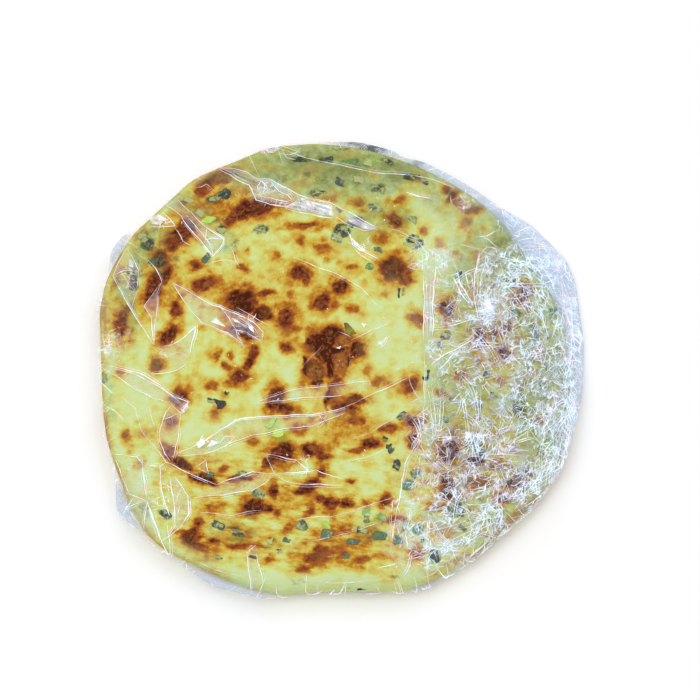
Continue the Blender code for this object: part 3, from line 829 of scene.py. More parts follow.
def doughMaterial():
    material, start, place = newMaterial('baked_dough')
    tones = patirSpec['colours']

    def grain(name, where=place):
        # noise round 0
        return start.noise(where, *patirSpec['noises'][name]) - 0.5

    broad, patch, grit, fine = grain('broad'), grain('patch'), grain('grit'), grain('fine')
    loose = place.shiftedBy(start.noiseColour(place, 300.0), 0.0030)
    bubbles = start.cells(loose, patirSpec['bubbleScale'], 'Distance').between(0.60, 0.12)
    bubbleTone = start.cells(loose, patirSpec['bubbleScale'], 'Color')
    pores = start.cells(loose, patirSpec['poreScale'], 'Distance').between(0.15, 0.55)
    mottle = start.noise(place, *patirSpec['noises']['under']).between(0.42, 0.66)
    toast = start.field('toast') + start.field('under') * mottle * 0.62
    # low in the picture the spots are drawn out sideways
    sweep = grain('sweep', place.stretched(-8.0, 0.36, 0.2))
    drawn = start.field('sweep') * 0.8
    patch = patch * (1.0 - drawn) + sweep * drawn * 1.5
    blush = bubbles * (bubbleTone - 0.42).atLeast(0.0) * 0.50
    ragged = (toast * (1.0 + patch * 0.80 + grit * 0.24) + blush + broad * 0.52
              + patch * (drawn * 0.30 + 0.28) + grit * 0.15 + fine * 0.11
              + toast * (0.5 - pores) * 0.14 + 0.13 - start.field('raw') * 0.20)
    baked = ragged.ramp(patirSpec['baking'])
    crustAndReflection = grain('crustAndReflection', loose) * 2.0
    lighter = (crustAndReflection + 0.05).between(0.0, 0.45) * ragged.between(0.60, 0.80) * 0.40
    # partly painted reflection: lighter tan over the darkest spots, where folded film lies over them
    liftedTanAndReflection = start.field('tan') * (0.66 + crustAndReflection * 0.8 + patch * 1.0 + grit * 2.6)
    flecked = lighter.atLeast(liftedTanAndReflection).atMost(1.0).mixColours(baked, tones['crustAndReflection'])
    rawness = start.field('raw') * (0.45 + broad * 1.4 + patch * 0.9).atLeast(0.05).atMost(0.8)
    pale = rawness.mixColours(flecked, tones['raw'])
    herbNoise = grain('herbs') * 2.2 + fine * 0.6
    herbs = (start.field('herbs') * 0.9 + herbNoise * 0.55 - 0.26).between(0.0, 0.75) * 0.80
    greened = (herbs * (1.0 - toast * 0.9).atLeast(0.0)).mixColours(pale, tones['herbs'])
    leafShade = grit.between(-0.15, 0.25).mixColours(tones['leafDark'], tones['leafGrey'])
    leafCover = (start.field('leafDark') * 1.5 + patch * 1.3 + grit * 0.9 - 0.35).between(0.0, 0.8)
    withDark = (leafCover * start.field('leafDark').between(0.0, 0.3)).mixColours(greened, leafShade)
    colour = start.field('leafLime').mixColours(withDark, tones['lime'])
    # painted shade: the skin is darkened towards the shade colour in the zones above, less over browned
    # spots
    paintedShadeShare = start.field('dull') * (1.0 - toast * 1.1).atLeast(0.0) * (0.62 + patch * 1.3)
    colour = paintedShadeShare.mixColours(colour, tones['dull'])
    height = fine * 0.25 + grit * 0.55 + patch * 0.9 + broad * 1.2 + bubbles * 0.5
    shader = start.node('BsdfPrincipled', {}, {
        'Base Color': colour, 'Roughness': 0.62 - 0.2 * toast.atMost(1.0).atLeast(0.0),
        'Normal': height.bump(0.5, patirSpec['relief']), 'Specular IOR Level': 0.03,
    })
    return finishMaterial(material, shader)


def makePatir():
    spec = patirSpec
    loaf, grid = addDiscCage('patir_bread', spec)
    places = wrapPlaces(grid, spec, loafTop, False)
    rows = -grid[:, 2]
    faceUp = 1.0 - smoothStep(*spec['topEnds'], rows)
    toast = faceUp * toastField(places - middle) + (1.0 - faceUp) * spec['underside']
    toast = np.maximum(toast, rimToast(places, rows))
    crag = waves(places, spec['cragLength'], 3.0) * smoothStep(*spec['cragBrown'], toast)
    ripple = waves(places, spec['rippleLength'], 5.0)
    lift = spec['crag'] * crag + spec['ripple'] * (ripple - spec['rippleSink'])
    places[:, 2] += np.where(rows < 0.5, np.minimum(lift, spec['mostRise']), 0.0)
    finishCage(loaf, places)
    seen = places - middle
    dark, lime = leafFields(seen)
    rawSide = smoothStep(*spec['rawSideRows'], rows) * spec['rawSide']
    writeField(loaf, 'toast', toast)
    writeField(loaf, 'herbs', zoneField(seen, herbZones, spec['herbEdge']) * faceUp)
    writeField(loaf, 'raw', np.maximum(zoneField(seen, rawZones), rawSide) * faceUp)
    writeField(loaf, 'leafDark', dark * faceUp)
    writeField(loaf, 'dull', zoneField(seen, paintedShadeZones) * faceUp)
    writeField(loaf, 'tan', zoneField(seen, tanAndReflectionPatches) * faceUp)
    writeField(loaf, 'sweep', smoothStep(*spec['drawnOut'], toPixels(seen)[1]) * faceUp)
    writeField(loaf, 'under', 1.0 - faceUp)
    writeField(loaf, 'leafLime', lime * faceUp)
    loaf.data.materials.append(doughMaterial())
    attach(loaf, body)
    return loaf


# Chopped green onion set in the top of the dough

onionSpec = {
    'thick': 0.36 * mm,
    'tilt': 9.0,  # most lean of a piece, in degrees
    'bend': 0.35,  # most bend of a piece, in millimetres
    'bendRest': 0.4,  # how far its middle goes the other way, of the bend
    'wobble': 0.2 * mm,
    'skew': 0.25,
    'edgeWave': (0.12, 2.5),  # height and number of the waves along an edge
    'skinFar': (0.25, 0.95),  # how far dough covers a piece high up in the picture
    'skinNear': (0.0, 0.75),
    'farAbove': 260,  # pixels down
    'bareTones': (0.01, 0.9),  # darker and brighter pieces than these have no dough on them
    'veins': (700.0, 3.0, 0.6),
    'blotch': (260.0, 2.0, 0.5),
    'speck': (1300.0, 2.0, 0.6),
    'relief': 0.0004,
    'skin': (176, 182, 116),
    'olive': ((84, 78, 14), (142, 130, 22)),
    # from black-green to lime
    'greens': (
        (0.00, (26, 26, 18)), (0.12, (46, 58, 42)), (0.28, (78, 98, 72)), (0.45, (80, 120, 58)),
        (0.65, (134, 168, 84)), (0.90, (168, 206, 78)), (1.00, (190, 220, 104)),
    ),
}
# x and y in the picture, half width, half height, turn in degrees, tone, kind where it isn't a leaf
onionBits = (
    (224, 194, 6, 4.5, 15, 0.05), (213, 199, 8, 3, 12, 0.22), (189, 200, 5, 3, 30, 0.2),
    (209, 220, 6, 5, 30, 0.95), (200, 213, 4, 3, 30, 0.3), (221, 229, 5, 4, 50, 0.12),
    (342, 231, 8, 5, -35, 0.08), (337, 238, 6, 4, 20, 0.3), (350, 224, 5, 3, -30, 0.25),
    (318, 193, 8, 2.6, 10, 0.15), (340, 182, 5, 4, 20, 0.22), (302, 159, 9, 3, -5, 0.12),
    (326, 160, 7, 3, -8, 0.15), (341, 148, 9, 2.6, -3, 0.18), (147, 243, 7, 4, 40, 0.06),
    (142, 236, 5, 3, 20, 0.2), (134, 283, 4, 8, 8, 0.06), (131, 270, 4, 5, 0, 0.3),
    (153, 262, 5, 4, 40, 0.25), (206, 257, 3.5, 6, 20, 0.28), (262, 229, 7, 4, 25, 0.2),
    (411, 221, 5.5, 5, 20, 0.42), (416, 240, 7, 4, 30, 0.08), (409, 246, 6, 3.5, 10, 0.3),
    (378, 250, 4, 3.5, 0, 0.36), (370, 267, 4, 3.5, 20, 0.5), (399, 293, 1.3, 5, 0, 0.12),
    (403, 293, 1.3, 5, 4, 0.16), (459, 275, 3, 4, 0, 0.02), (378, 189, 8, 3.5, 22, 0.16),
    (359, 180, 5, 4, 10, 0.2), (412, 177, 8, 3, 5, 0.08), (424, 181, 5, 2.6, 30, 0.2),
    (348, 162, 10, 2.8, -6, 0.5), (372, 163, 8, 4, 12, 0.7), (387, 161, 7, 2.8, 40, 0.1),
    (446, 335, 5, 3.5, 30, 0.06), (348, 328, 5.0, 8.6, -28, 0.0, 'wedge'), (426, 375, 3.5, 5, 0, 0.1),
    (375, 207, 8, 4.5, 25, 0.3), (356, 222, 8, 4, -25, 0.22), (553, 315, 4.5, 7, 10, 0.42),
    (535, 336, 3.5, 9, 8, 0.2), (512, 284, 5, 4, 20, 0.22, 'ring'), (514, 313, 6, 4, 30, 0.28),
    (495, 250, 6, 4, -40, 0.3), (499, 226, 3, 2.5, 0, 0.42), (217, 404, 8, 5, 25, 0.0),
    (211, 400, 4, 3, 0, 0.05), (227, 392, 2.2, 3, 20, 0.1), (210, 475, 4, 2.4, 0, 0.3),
    (241, 474, 6, 2.6, 8, 0.28), (270, 422, 5, 6, 20, 0.92), (281, 434, 8, 4.5, 10, 0.98),
    (259, 493, 6, 5, 20, 0.3), (218, 525, 7, 3.4, 20, 0.12), (238, 534, 6, 2, 6, 0.15),
    (303, 526, 6, 5, 35, 0.28), (328, 525, 6, 2.8, 30, 0.9), (270, 540, 3, 3.6, 10, 0.85),
    (252, 556, 5, 2.4, 10, 0.0), (219, 557, 4, 2, 0, 0.1), (327, 535, 6, 5, 20, 0.32),
    (279, 551, 2.6, 2, 0, 0.1), (166, 514, 6, 3.4, 35, 0.12), (144, 506, 5, 3, 20, 0.3),
    (104, 378, 3, 5, 0, 0.3), (402, 416, 5.5, 3, -40, 0.18), (385, 439, 3.2, 2.2, 30, 0.06),
    (391, 452, 3.5, 5, 10, 0.16), (397, 464, 3.6, 5.5, 20, 0.1), (389, 446, 3, 3, 0, 0.12),
    (407, 485, 6, 5, 20, 0.4), (416, 473, 5, 3.4, -20, 0.3), (519, 402, 5, 9, 10, 0.02),
    (523, 414, 3, 6, -10, 0.06), (514, 396, 4, 4, 20, 0.3), (542, 385, 2.8, 5, 0, 0.06),
    (478, 449, 8, 3.6, 35, 0.05), (470, 444, 5, 3.4, 20, 0.15), (456, 512, 8, 5.5, 0, 0.3),
    (459, 505, 5, 4, 30, 0.04), (418, 529, 6, 5.5, 22, 0.44), (406, 525, 3.6, 5.5, 10, 0.3),
    (398, 540, 5, 4.6, 8, 0.38), (380, 536, 7, 4, 0, 0.34), (363, 530, 6, 3.6, 5, 0.12),
    (353, 541, 6, 3.4, 5, 0.28), (367, 519, 4, 3.4, 0, 0.36), (382, 517, 5, 3, 20, 0.6),
    (366, 512, 4, 3, 0, 0.7), (435, 556, 6, 5, 20, 0.12), (423, 541, 2.4, 2, 0, 0.05),
    (363, 589, 5.5, 3, 5, 0.0), (463, 527, 4, 3, 30, 0.25), (445, 420, 4, 3, 20, 0.2),
    (494, 395, 4, 3, 0, 0.3), (540, 455, 4, 3, 40, 0.22), (478, 405, 4, 3, 10, 0.3),
    (486, 375, 4, 3.4, 60, 0.24), (452, 400, 3, 3, 0, 0.36), (526, 470, 4, 3, 30, 0.2),
    (500, 520, 4, 3, 30, 0.26), (440, 345, 3, 3, 0, 0.3), (287, 540, 4, 2.4, 10, 0.3),
    (345, 556, 4, 2.4, 0, 0.34),
)


def makeOnionKind(kind):
    # a block, a wedge or a ring two units across and one unit thick, with rounded edges
    bpy.ops.object.select_all(action='DESELECT')
    if kind == 'ring':
        bpy.ops.mesh.primitive_torus_add(major_segments=18, minor_segments=8,
                                         major_radius=0.74, minor_radius=0.26)
        piece = bpy.context.object
        editAll()
        bpy.ops.transform.resize(value=(1.0, 1.0, 1.9))
        bpy.ops.object.mode_set(mode='OBJECT')
        return piece
    bpy.ops.mesh.primitive_cube_add(size=1, scale=(2.0, 2.0, 1.0))
    piece = bpy.context.object
    editAll()
    if kind == 'wedge':
        bpy.ops.mesh.select_all(action='DESELECT')
        bpy.ops.object.mode_set(mode='OBJECT')
        for vertex in piece.data.vertices:
            vertex.select = vertex.co.y > 0
        bpy.ops.object.mode_set(mode='EDIT')
        bpy.ops.transform.resize(value=(0.16, 1.0, 1.0))
        bpy.ops.mesh.select_all(action='SELECT')
    bpy.ops.mesh.bevel(offset=0.12 if kind == 'wedge' else 0.3, segments=2, affect='EDGES')
    bpy.ops.mesh.select_all(action='SELECT')
    bpy.ops.mesh.subdivide(number_cuts=2, smoothness=0.4)
    bpy.ops.object.mode_set(mode='OBJECT')
    return piece


def makeOnionBits(breadTree, draw):
    spec = onionSpec
    kinds = {kind: makeOnionKind(kind) for kind in ('leaf', 'ring', 'wedge')}
    corners, faces = [], []
    fields = {'tone': [], 'buried': [], 'edge': [], 'olive': []}
    steep = math.sin(math.radians(spec['tilt']))
    waveHeight, waveCount = spec['edgeWave']
    for x, y, halfWide, halfHigh, turn, tone, *other in onionBits:
        kind = other[0] if other else 'leaf'
        eye, ray = pixelRay(x, y)
        spot, normal, face, distance = breadTree.ray_cast(eye, ray)
        if spot is None:
            continue
        pixel = distance * halfView / halfSide
        c, s = math.cos(math.radians(turn)), math.sin(math.radians(turn))
        lean = Vector((draw.uniform(-1, 1), draw.uniform(-1, 1), 0.0)) * steep
        up = (normal + lean).normalized()
        bend, phase = draw.uniform(-1.0, 1.0) * spec['bend'], draw.uniform(0, 6.28)
        skew = draw.uniform(-spec['skew'], spec['skew'])
        buried = draw.uniform(*spec['skinFar' if y < spec['farAbove'] else 'skinNear'])
        buried = buried if spec['bareTones'][0] < tone < spec['bareTones'][1] else 0.0
        data = kinds[kind].data
        first = len(corners)
        for vertex in data.vertices:
            a, b, thick = vertex.co
            fields['edge'].append(0.0 if kind == 'ring' else max(abs(a), abs(b)))
            a += skew * b
            b += waveHeight * math.sin(waveCount * a + phase)
            right = (a * halfWide * c + b * halfHigh * s) * pixel
            away = (-a * halfWide * s + b * halfHigh * c) * pixel / math.sin(lookDown)
            rise = thick * spec['thick'] + bend * mm * (a * a - spec['bendRest'])
            rise += spec['wobble'] * math.sin(2 * b + phase)
            flatSpot = Vector((right, away, 0.0))
            flatSpot -= up * flatSpot.dot(up)
            corners.append(spot + flatSpot + up * rise)
        count = len(data.vertices)
        fields['tone'] += [tone] * count
        fields['buried'] += [buried] * count
        fields['olive'] += [float(kind == 'wedge')] * count
        faces += [[first + index for index in face.vertices] for face in data.polygons]
    for kind in kinds.values():
        bpy.data.objects.remove(kind)
    bits = addMesh('onion_bits', corners, faces)
    for name, values in fields.items():
        writeField(bits, name, values)
    faceOutward()
    bpy.ops.object.shade_smooth()
    bits.data.materials.append(onionMaterial())
    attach(bits, body)


def onionMaterial():
    material, start, place = newMaterial('green_onion')
    veins = start.noise(place, *onionSpec['veins']) - 0.5
    blotch = start.noise(place, *onionSpec['blotch']) - 0.5
    speck = start.noise(place, *onionSpec['speck']) - 0.5
    tone = start.field('tone') + veins * 0.45 + blotch * 0.25 + speck * 0.15
    green = tone.ramp(onionSpec['greens'])
    skin = (start.field('buried') + blotch * 1.6 + veins * 1.2 - 0.30).between(0.0, 0.5) * 0.85
    colour = skin.mixColours(green, onionSpec['skin'])
    olive = (blotch * 2.0).between(-0.3, 0.3).mixColours(*onionSpec['olive'])
    colour = start.field('olive').mixColours(colour, olive)
    shader = start.node('BsdfPrincipled', {}, {
        'Base Color': colour, 'Roughness': 0.42, 'Normal': veins.bump(0.4, onionSpec['relief']),
        'Specular IOR Level': 0.5,
    })
    # ragged edges, cut away by clearness
    gone = (start.field('edge') + blotch * 1.1 + veins * 0.7).between(0.86, 1.12)
    return finishMaterial(material, gone.mixShaders(shader, start.clear()))


# The clear film

filmSpec = {
    'cells': 60,
    'cuts': 3,
    'rowsAbove': 11,
    'rowsBelow': 4,
    'plyHaze': 0.03,
    'flapHaze': 0.46,
    'shadeHaze': 0.5,
    'cloud': 0.27,
    'thinnest': 0.006,  # film clearer than this isn't seen
    'thickest': 0.9,
    'grazing': 0.05,
    'edgeReach': 7.0 * mm,  # how far the crumpled margin's white reaches in over the bread
    'edgeAngles': (5.0, 25.0, 62.0, 80.0),  # degrees between which it does
    'flapStarts': 0.6 * mm,  # past the bread
    'flapFade': 2.9 * mm,
    'clearOverDark': 0.8,  # share of the crumple's white left out over dark spots
    'darkSpots': (0.40, 0.65),
    'relief': 0.0012,
    'facets': 210.0,
    'sheen': ((208, 226, 250), (74, 86, 100)),  # lit and in shade
    # glow: colour of a faint painted glow over the film
    'glow': (196, 206, 250),
    # the hair settings below are for the painted highlight lines over the crumpled film
    'hairTints': ((212, 234, 244), (230, 228, 244)),
    'hairGlow': 0.25,
    'hairGleam': 0.88,
    'hairPatches': (0.48, 0.56),
    # turn in degrees, squeeze along the lines, scale and width of each set of near-parallel creases
    'hairSets': (
        (0.0, 1.0, 250.0, 0.065), (20.0, 0.25, 330.0, 0.075),
        (62.0, 0.18, 400.0, 0.090), (115.0, 0.20, 340.0, 0.080),
    ),
}

foldSpec = {
    'cuts': 5,
    'lift': 0.12 * mm,
    'thickness': 0.03 * mm,
    'glow': 0.22,
    # tints: the folds' lavender, and the white of painted glints
    'tints': ((220, 212, 226), (244, 246, 250)),
}
# Flat faces of the folds, where doubled film whitens what is under it, with painted glints where the amount
# is high: amount, then x and y of each corner
veilsAndGlints = (
    (0.62, 300, 199, 331, 206, 333, 216, 316, 212), (0.5, 284, 207, 300, 200, 316, 212, 296, 210),
    (0.21, 215, 167, 247, 172, 257, 179, 270, 179, 295, 193, 331, 203, 344, 210, 334, 218, 288, 207, 279,
        206, 256, 200, 249, 185),
    (0.21, 335, 206, 379, 228, 376, 232, 364, 231, 345, 223),
    (0.22, 178, 200, 207, 228, 224, 239, 223, 244, 213, 256, 202, 242, 181, 216, 166, 205),
    (0.2, 127, 249, 139, 271, 137, 293, 132, 307, 154, 345, 131, 309, 113, 276),
    (0.21, 162, 282, 157, 294, 155, 345, 151, 317, 144, 306),
    (0.24, 173, 283, 210, 304, 220, 307, 253, 322, 263, 332, 262, 343, 246, 332, 236, 330, 238, 337, 244,
        346, 228, 333, 210, 325, 202, 323, 188, 306),
    (0.85, 211, 322, 216, 318, 226, 327), (0.8, 232, 318, 236, 319, 240, 323, 235, 322),
    (0.8, 248, 324, 253, 328, 254, 333, 249, 329), (0.55, 378, 343, 388, 336, 382, 347),
    (0.85, 378, 343, 381, 342, 380, 345), (0.85, 336, 348, 341, 346, 340, 349),
    (0.7, 361, 323, 366, 324, 364, 328), (0.75, 196, 444, 203, 438, 206, 443, 199, 448),
    (0.75, 207, 447, 212, 440, 219, 442, 213, 446), (0.55, 180, 409, 187, 403, 189, 408, 184, 413),
    (0.6, 150, 219, 158, 214, 166, 219, 160, 225, 152, 224), (0.55, 130, 258, 134, 262, 133, 268, 129, 266),
    (0.6, 103, 348, 110, 344, 112, 352, 106, 358), (0.55, 345, 215, 372, 226, 378, 230, 366, 229, 350, 222),
    (0.6, 352, 237, 359, 245, 368, 252, 362, 251, 354, 245),
    (0.45, 258, 150, 268, 147, 281, 148, 274, 153, 262, 154),
    (0.2, 157, 348, 171, 345, 186, 336, 196, 327, 188, 358, 189, 361, 178, 370, 160, 353),
    (0.21, 100, 364, 129, 371, 144, 375, 160, 385, 180, 403, 168, 403, 139, 391),
    (0.21, 171, 406, 180, 413, 179, 431, 173, 459, 165, 454, 160, 441, 163, 420),
    (0.24, 171, 396, 188, 402, 181, 413, 171, 404),
    (0.18, 176, 454, 199, 444, 220, 430, 236, 420, 259, 417, 310, 415, 319, 414, 345, 407, 345, 413, 314,
        426, 277, 430, 253, 435, 225, 446, 204, 454, 178, 456),
    (0.15, 254, 404, 295, 389, 345, 384, 369, 381, 372, 386, 345, 395, 292, 399),
    (0.18, 217, 485, 252, 472, 275, 474, 252, 491, 194, 498),
    (0.24, 175, 477, 188, 496, 189, 514, 181, 527, 161, 542, 168, 537, 175, 526, 175, 517, 173, 496, 171,
        478),
    (0.16, 116, 506, 126, 460, 142, 460, 147, 501, 160, 540, 143, 531, 126, 508),
    (0.3, 425, 272, 436, 263, 434, 293, 432, 336, 424, 340), (0.16, 256, 545, 263, 581, 251, 594, 247, 553),
)

# Zones where the crumples lie so close that they look milky
milkZones = (
    (491, 308, 8, 18, 10, 0.16), (570, 392, 6, 66, 2, 0.24), (554, 472, 12, 5, -50, 0.14),
    (514, 500, 14, 6, -36, 0.1), (556, 440, 7, 24, 8, 0.16), (550, 268, 8, 22, -34, 0.12),
    (568, 345, 6, 22, 0, 0.2), (556, 410, 16, 60, 4, 0.1), (497, 300, 16, 28, 10, 0.12),
    (520, 462, 22, 16, -30, 0.08), (440, 545, 26, 8, 14, 0.1),
)
# Zones where the film's margin is in shade
shadeZones = (
    (374, 148, 24, 6, 14, 0.95), (345, 143, 40, 5, 2, 0.6), (306, 145, 22, 4, -4, 0.45),
    (420, 162, 22, 4, 24, 0.5), (505, 212, 40, 5, 33, 0.2),
)


def paintedCreaseHighlights(start, loose, place):
    # painted highlights along fine creases: edges of warped cells, patches of them drawn out each its own
    # way
    sets = []
    for number, (turn, squeeze, scale, width) in enumerate(filmSpec['hairSets'], 1):
        run = loose.stretched(turn, squeeze, 0.37 * number)
        patch = start.noise(place.stretched(0.0, 1.0, 0.61 * number), 130.0, 1.0)
        edges = start.cellEdges(run, scale).between(width, 0.0)
        sets.append(edges * patch.between(*filmSpec['hairPatches']))
    lines = sets[0]
    for more in sets[1:]:
        lines = lines.atLeast(more)
    return lines


def filmMaterial():
    material, start, place = newMaterial('clear_film')
    spec = filmSpec
    crumple = start.field('crumple')
    streaks = start.noise(place, 300.0, 4.0, 0.6)
    broad = start.noise(place, 60.0, 2.0, 0.5)
    cloud = start.noise(place, 130.0, 3.0, 0.65) - 0.5
    loose = place.shiftedBy(start.noiseColour(place, 170.0), 0.0022)
    facing = start.node('LayerWeight', {}, {'Blend': 0.2}, 'Facing')
    # facets whitened at random: the crumpled film's haze and painted reflections of its facets, less over
    # dark spots
    facetTone = start.cells(loose, spec['facets'], 'Color') - 0.5
    facet = start.cells(loose, spec['facets'], 'Distance') * 1.1 + facetTone * 0.9 + cloud * 2.0
    facetHazeAndGlare = facet.between(0.52, 0.84) * crumple.atMost(1.2) * start.field('clarity')
    milk = start.field('haze') * (streaks * 1.6 + 0.2) + facetHazeAndGlare * spec['cloud']
    cover = (milk + facing * spec['grazing'] - spec['thinnest']).atMost(spec['thickest']).atLeast(0.0)
    # the film's faint emission is a painted glow that brightens it
    plastic = start.node('BsdfPrincipled', {}, {
        'Base Color': start.field('shade').mixColours(*spec['sheen']),
        'Metallic': (1.0 - milk * 5.0).atLeast(0.0), 'Roughness': 0.14,
        'Normal': (broad * 3.0 + streaks).bump(0.5, spec['relief']),
        'Emission Color': asColour(spec['glow']), 'Emission Strength': 0.03,
    })
    shader = cover.mixShaders(start.clear(), plastic)
    # painted highlights: white, glowing lines over the crumpled film, where its creases catch the light
    tint = start.noise(place, 120.0, 1.0).between(0.40, 0.60).mixColours(*spec['hairTints'])
    lines = paintedCreaseHighlights(start, loose, place) * crumple.between(0.02, 0.75)
    bright = (start.noise(place, 230.0, 2.0) * 4.0 - 1.4).atLeast(0.15).atMost(1.0)
    white = start.paintedGlow(tint, 0.3, spec['hairGlow'])
    return finishMaterial(material, (lines * bright * spec['hairGleam']).mixShaders(shader, white))


def makeFilm():
    spec = filmSpec
    film, grid = addDiscCage('film_wrap', spec)
    places = wrapPlaces(grid, spec, filmTop, True)
    finishCage(film, places)
    seen = places - middle
    ring, angle = discFromSquare(grid[:, 0], grid[:, 1])
    inward = spec['edgeReach'] * within(angle % 360.0, *spec['edgeAngles'])
    past = np.hypot(places[:, 0], places[:, 1]) - loafRadius(angle)
    outside = smoothStep(0.0, 1.0, (past + inward - spec['flapStarts']) / (spec['flapFade'] + inward))
    ply = plyCover(places[:, 0], places[:, 1])
    isTop = -grid[:, 2] <= spec['rowsAbove']
    shade = zoneField(seen, shadeZones)
    haze = spec['plyHaze'] * ply * isTop + spec['flapHaze'] * outside + spec['shadeHaze'] * shade * outside
    dark = smoothStep(*spec['darkSpots'], toastField(seen))
    writeField(film, 'haze', haze + zoneField(seen, milkZones) * isTop)
    writeField(film, 'crumple', curlDensity(*toPixels(seen)) * isTop)
    writeField(film, 'clarity', 1.0 - spec['clearOverDark'] * dark)
    writeField(film, 'shade', shade)
    film.data.materials.append(filmMaterial())
    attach(film, body)
    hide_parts(wrapNode)
    return film


def treeOf(piece):
    # a search tree over a finished piece, for laying things on it
    corners = [vertex.co.copy() for vertex in piece.data.vertices]
    return BVHTree.FromPolygons(corners, [list(face.vertices) for face in piece.data.polygons])


# Crease lines, each a thin tapering strand lying on the film, white with a painted glow: painted highlights
# where the creases catch the light

strandSpec = {
    'step': 3.0,  # pixels between a line's points
    'curlStep': 2.5,
    'tip': 0.25,  # thickness at the ends, of the middle's
    'blunt': 0.6,  # smaller keeps a strand thick nearer to its ends
    'swell': (0.75, 0.9, 160.0),  # middle thickness, how much it varies, and the scale of that
    'thinnest': 0.3,
}


def filmSpot(tree, x, y, lift):
    # the place on the film under a point of the picture, or None beside the film
    eye, ray = pixelRay(x, y)
    spot, normal, face, distance = tree.ray_cast(eye, ray)
    return None if spot is None else spot + normal * lift


def layOnFilm(tree, pixels, lift):
    # points on the film under a line drawn in the picture
    points = []
    for (x0, y0), (x1, y1) in zip(pixels, pixels[1:]):
        count = max(1, int(math.hypot(x1 - x0, y1 - y0) / strandSpec['step']))
        for index in range(count):
            share = index / count
            points.append((x0 + (x1 - x0) * share, y0 + (y1 - y0) * share))
    points.append(pixels[-1])
    laid = [filmSpot(tree, x, y, lift) for x, y in points]
    return [place for place in laid if place is not None]


def bowed(pixels, draw, bow=0.05, jitter=0.16, step=4.0):
    # straight sides become slightly curved, unsteady ones
    path = []
    for (x0, y0), (x1, y1) in zip(pixels, pixels[1:]):
        length = max(1.0, math.hypot(x1 - x0, y1 - y0))
        reach = draw.uniform(-bow, bow) * length
        count = max(2, int(length / step))
        for index in range(count):
            share = index / count
            off = reach * math.sin(math.pi * share) + draw.uniform(-jitter, jitter)
            path.append((x0 + (x1 - x0) * share - (y1 - y0) / length * off,
                         y0 + (y1 - y0) * share + (x1 - x0) / length * off))
    path.append(pixels[-1])
    return path


def beside(path, away):
    # the same line moved sideways
    moved = []
    for index, (x, y) in enumerate(path):
        x0, y0 = path[max(0, index - 1)]
        x1, y1 = path[min(len(path) - 1, index + 1)]
        length = max(0.5, math.hypot(x1 - x0, y1 - y0))
        moved.append((x - (y1 - y0) / length * away, y + (x1 - x0) / length * away))
    return moved


def addStrands(name, strands):
    # strands: points, half thickness in metres and how bright, turned into one mesh
    bpy.ops.object.select_all(action='DESELECT')
    bpy.ops.curve.primitive_bezier_curve_add(radius=0.01)
    curve = named(name).data
    curve.dimensions = '3D'
    curve.splines.clear()
    gleams = []
    tip = strandSpec['tip']
    even, uneven, scale = strandSpec['swell']
    for points, thickness, gleam in strands:
        if len(points) < 2:
            continue
        spline = curve.splines.new('POLY')
        last = len(points) - 1
        spline.points.add(last)
        for index, point in enumerate(points):
            taper = tip + (1.0 - tip) * abs(math.sin(math.pi * index / last)) ** strandSpec['blunt']
            swell = max(strandSpec['thinnest'], even + uneven * noise.noise(point * scale))
            spline.points[index].co = (*point, 1.0)
            spline.points[index].radius = thickness / mm * taper * swell
        gleams += [gleam] * (4 * len(points))
    curve.bevel_depth = mm
    curve.bevel_resolution = 0
    bpy.ops.object.convert(target='MESH')
    piece = named(name)
    writeField(piece, 'gleam', gleams)
    editAll()
    bpy.ops.mesh.fill_holes(sides=4)
    bpy.ops.object.mode_set(mode='OBJECT')
    faceOutward()
    bpy.ops.object.shade_smooth()
    return piece


def creaseMaterial(name, spec):
    material, start, place = newMaterial(name)
    tint = start.noise(place, 130.0, 2.0, 0.5)
    sparkle = start.noise(place, 420.0, 2.0, 0.5)
    # painted highlight: a white, bluish or warm, with a painted glow, flickering along the lines
    colour = (tint - spec['coolShare']).between(-0.04, 0.16).mixColours((232, 244, 255), spec['warm'])
    cover = (start.field('gleam') * (sparkle * 1.9 + 0.05) * spec['brightness']).atMost(0.92)
    white = start.paintedGlow(colour, 0.25, spec['glow'])
    return finishMaterial(material, cover.mixShaders(start.clear(), white))


creaseSpec = {
    'thickness': 0.31 * mm,
    'lift': 0.10 * mm,
    'warm': (250, 222, 216),  # the warmer of the two whites
    'coolShare': 0.49,
    'glow': 0.40,
    'brightness': 0.96,
    'besideBy': (1.3, 2.6),  # pixels between a fold's two edges
    'besideWidth': 0.7,
    'besideGleam': 0.5,
    'ticks': 1,  # most short creases at a corner
    'tickLength': (3.0, 8.0),
    'tickTurn': 20.0,
    'tickShare': 0.5,  # width and brightness, of the line's
    'scribbleLength': (3.0, 10.0),
    'scribbleTurn': 70.0,
    'scribbleWidth': (0.35, 0.70),
    # sparks: tiny painted glints scattered over the top
    'sparks': 90,
    'sparkLength': (1.0, 3.6),  # pixels
    'sparkTurn': 30.0,
    'sparkWidth': (0.4, 0.9),
    'sparkAcross': (105, 430),  # pixels between which they lie
    'sparkDown': (160, 585),
    'gleam': (0.3, 0.9),
    'rimCreases': 260,
    'rimPoints': 8,
    'rimTop': (7.0 * mm, 19.0 * mm),
    'rimFoot': (1.0 * mm, 6.0 * mm),
    'rimSlant': 0.07,  # radians
    'rimShake': 0.002,
    'rimWidth': (0.5, 1.0),
    'outside': 0.2,  # metres from the middle, past the part
}
# Knots of small creases: x, y, half width, half height, how many
scribbles = (
    (109, 340, 6, 11, 40), (263, 190, 12, 7, 26), (310, 204, 17, 5, 34), (366, 246, 8, 7, 12),
    (466, 202, 12, 7, 30), (420, 246, 9, 14, 30), (128, 275, 7, 18, 16), (168, 505, 14, 26, 22),
    (104, 408, 5, 12, 16), (323, 416, 8, 6, 12), (304, 462, 8, 8, 12), (394, 512, 5, 16, 16),
    (140, 465, 14, 8, 10), (205, 444, 9, 5, 10), (245, 325, 12, 7, 12), (162, 222, 9, 5, 10),
    (272, 150, 10, 4, 10), (430, 300, 5, 34, 12),
)
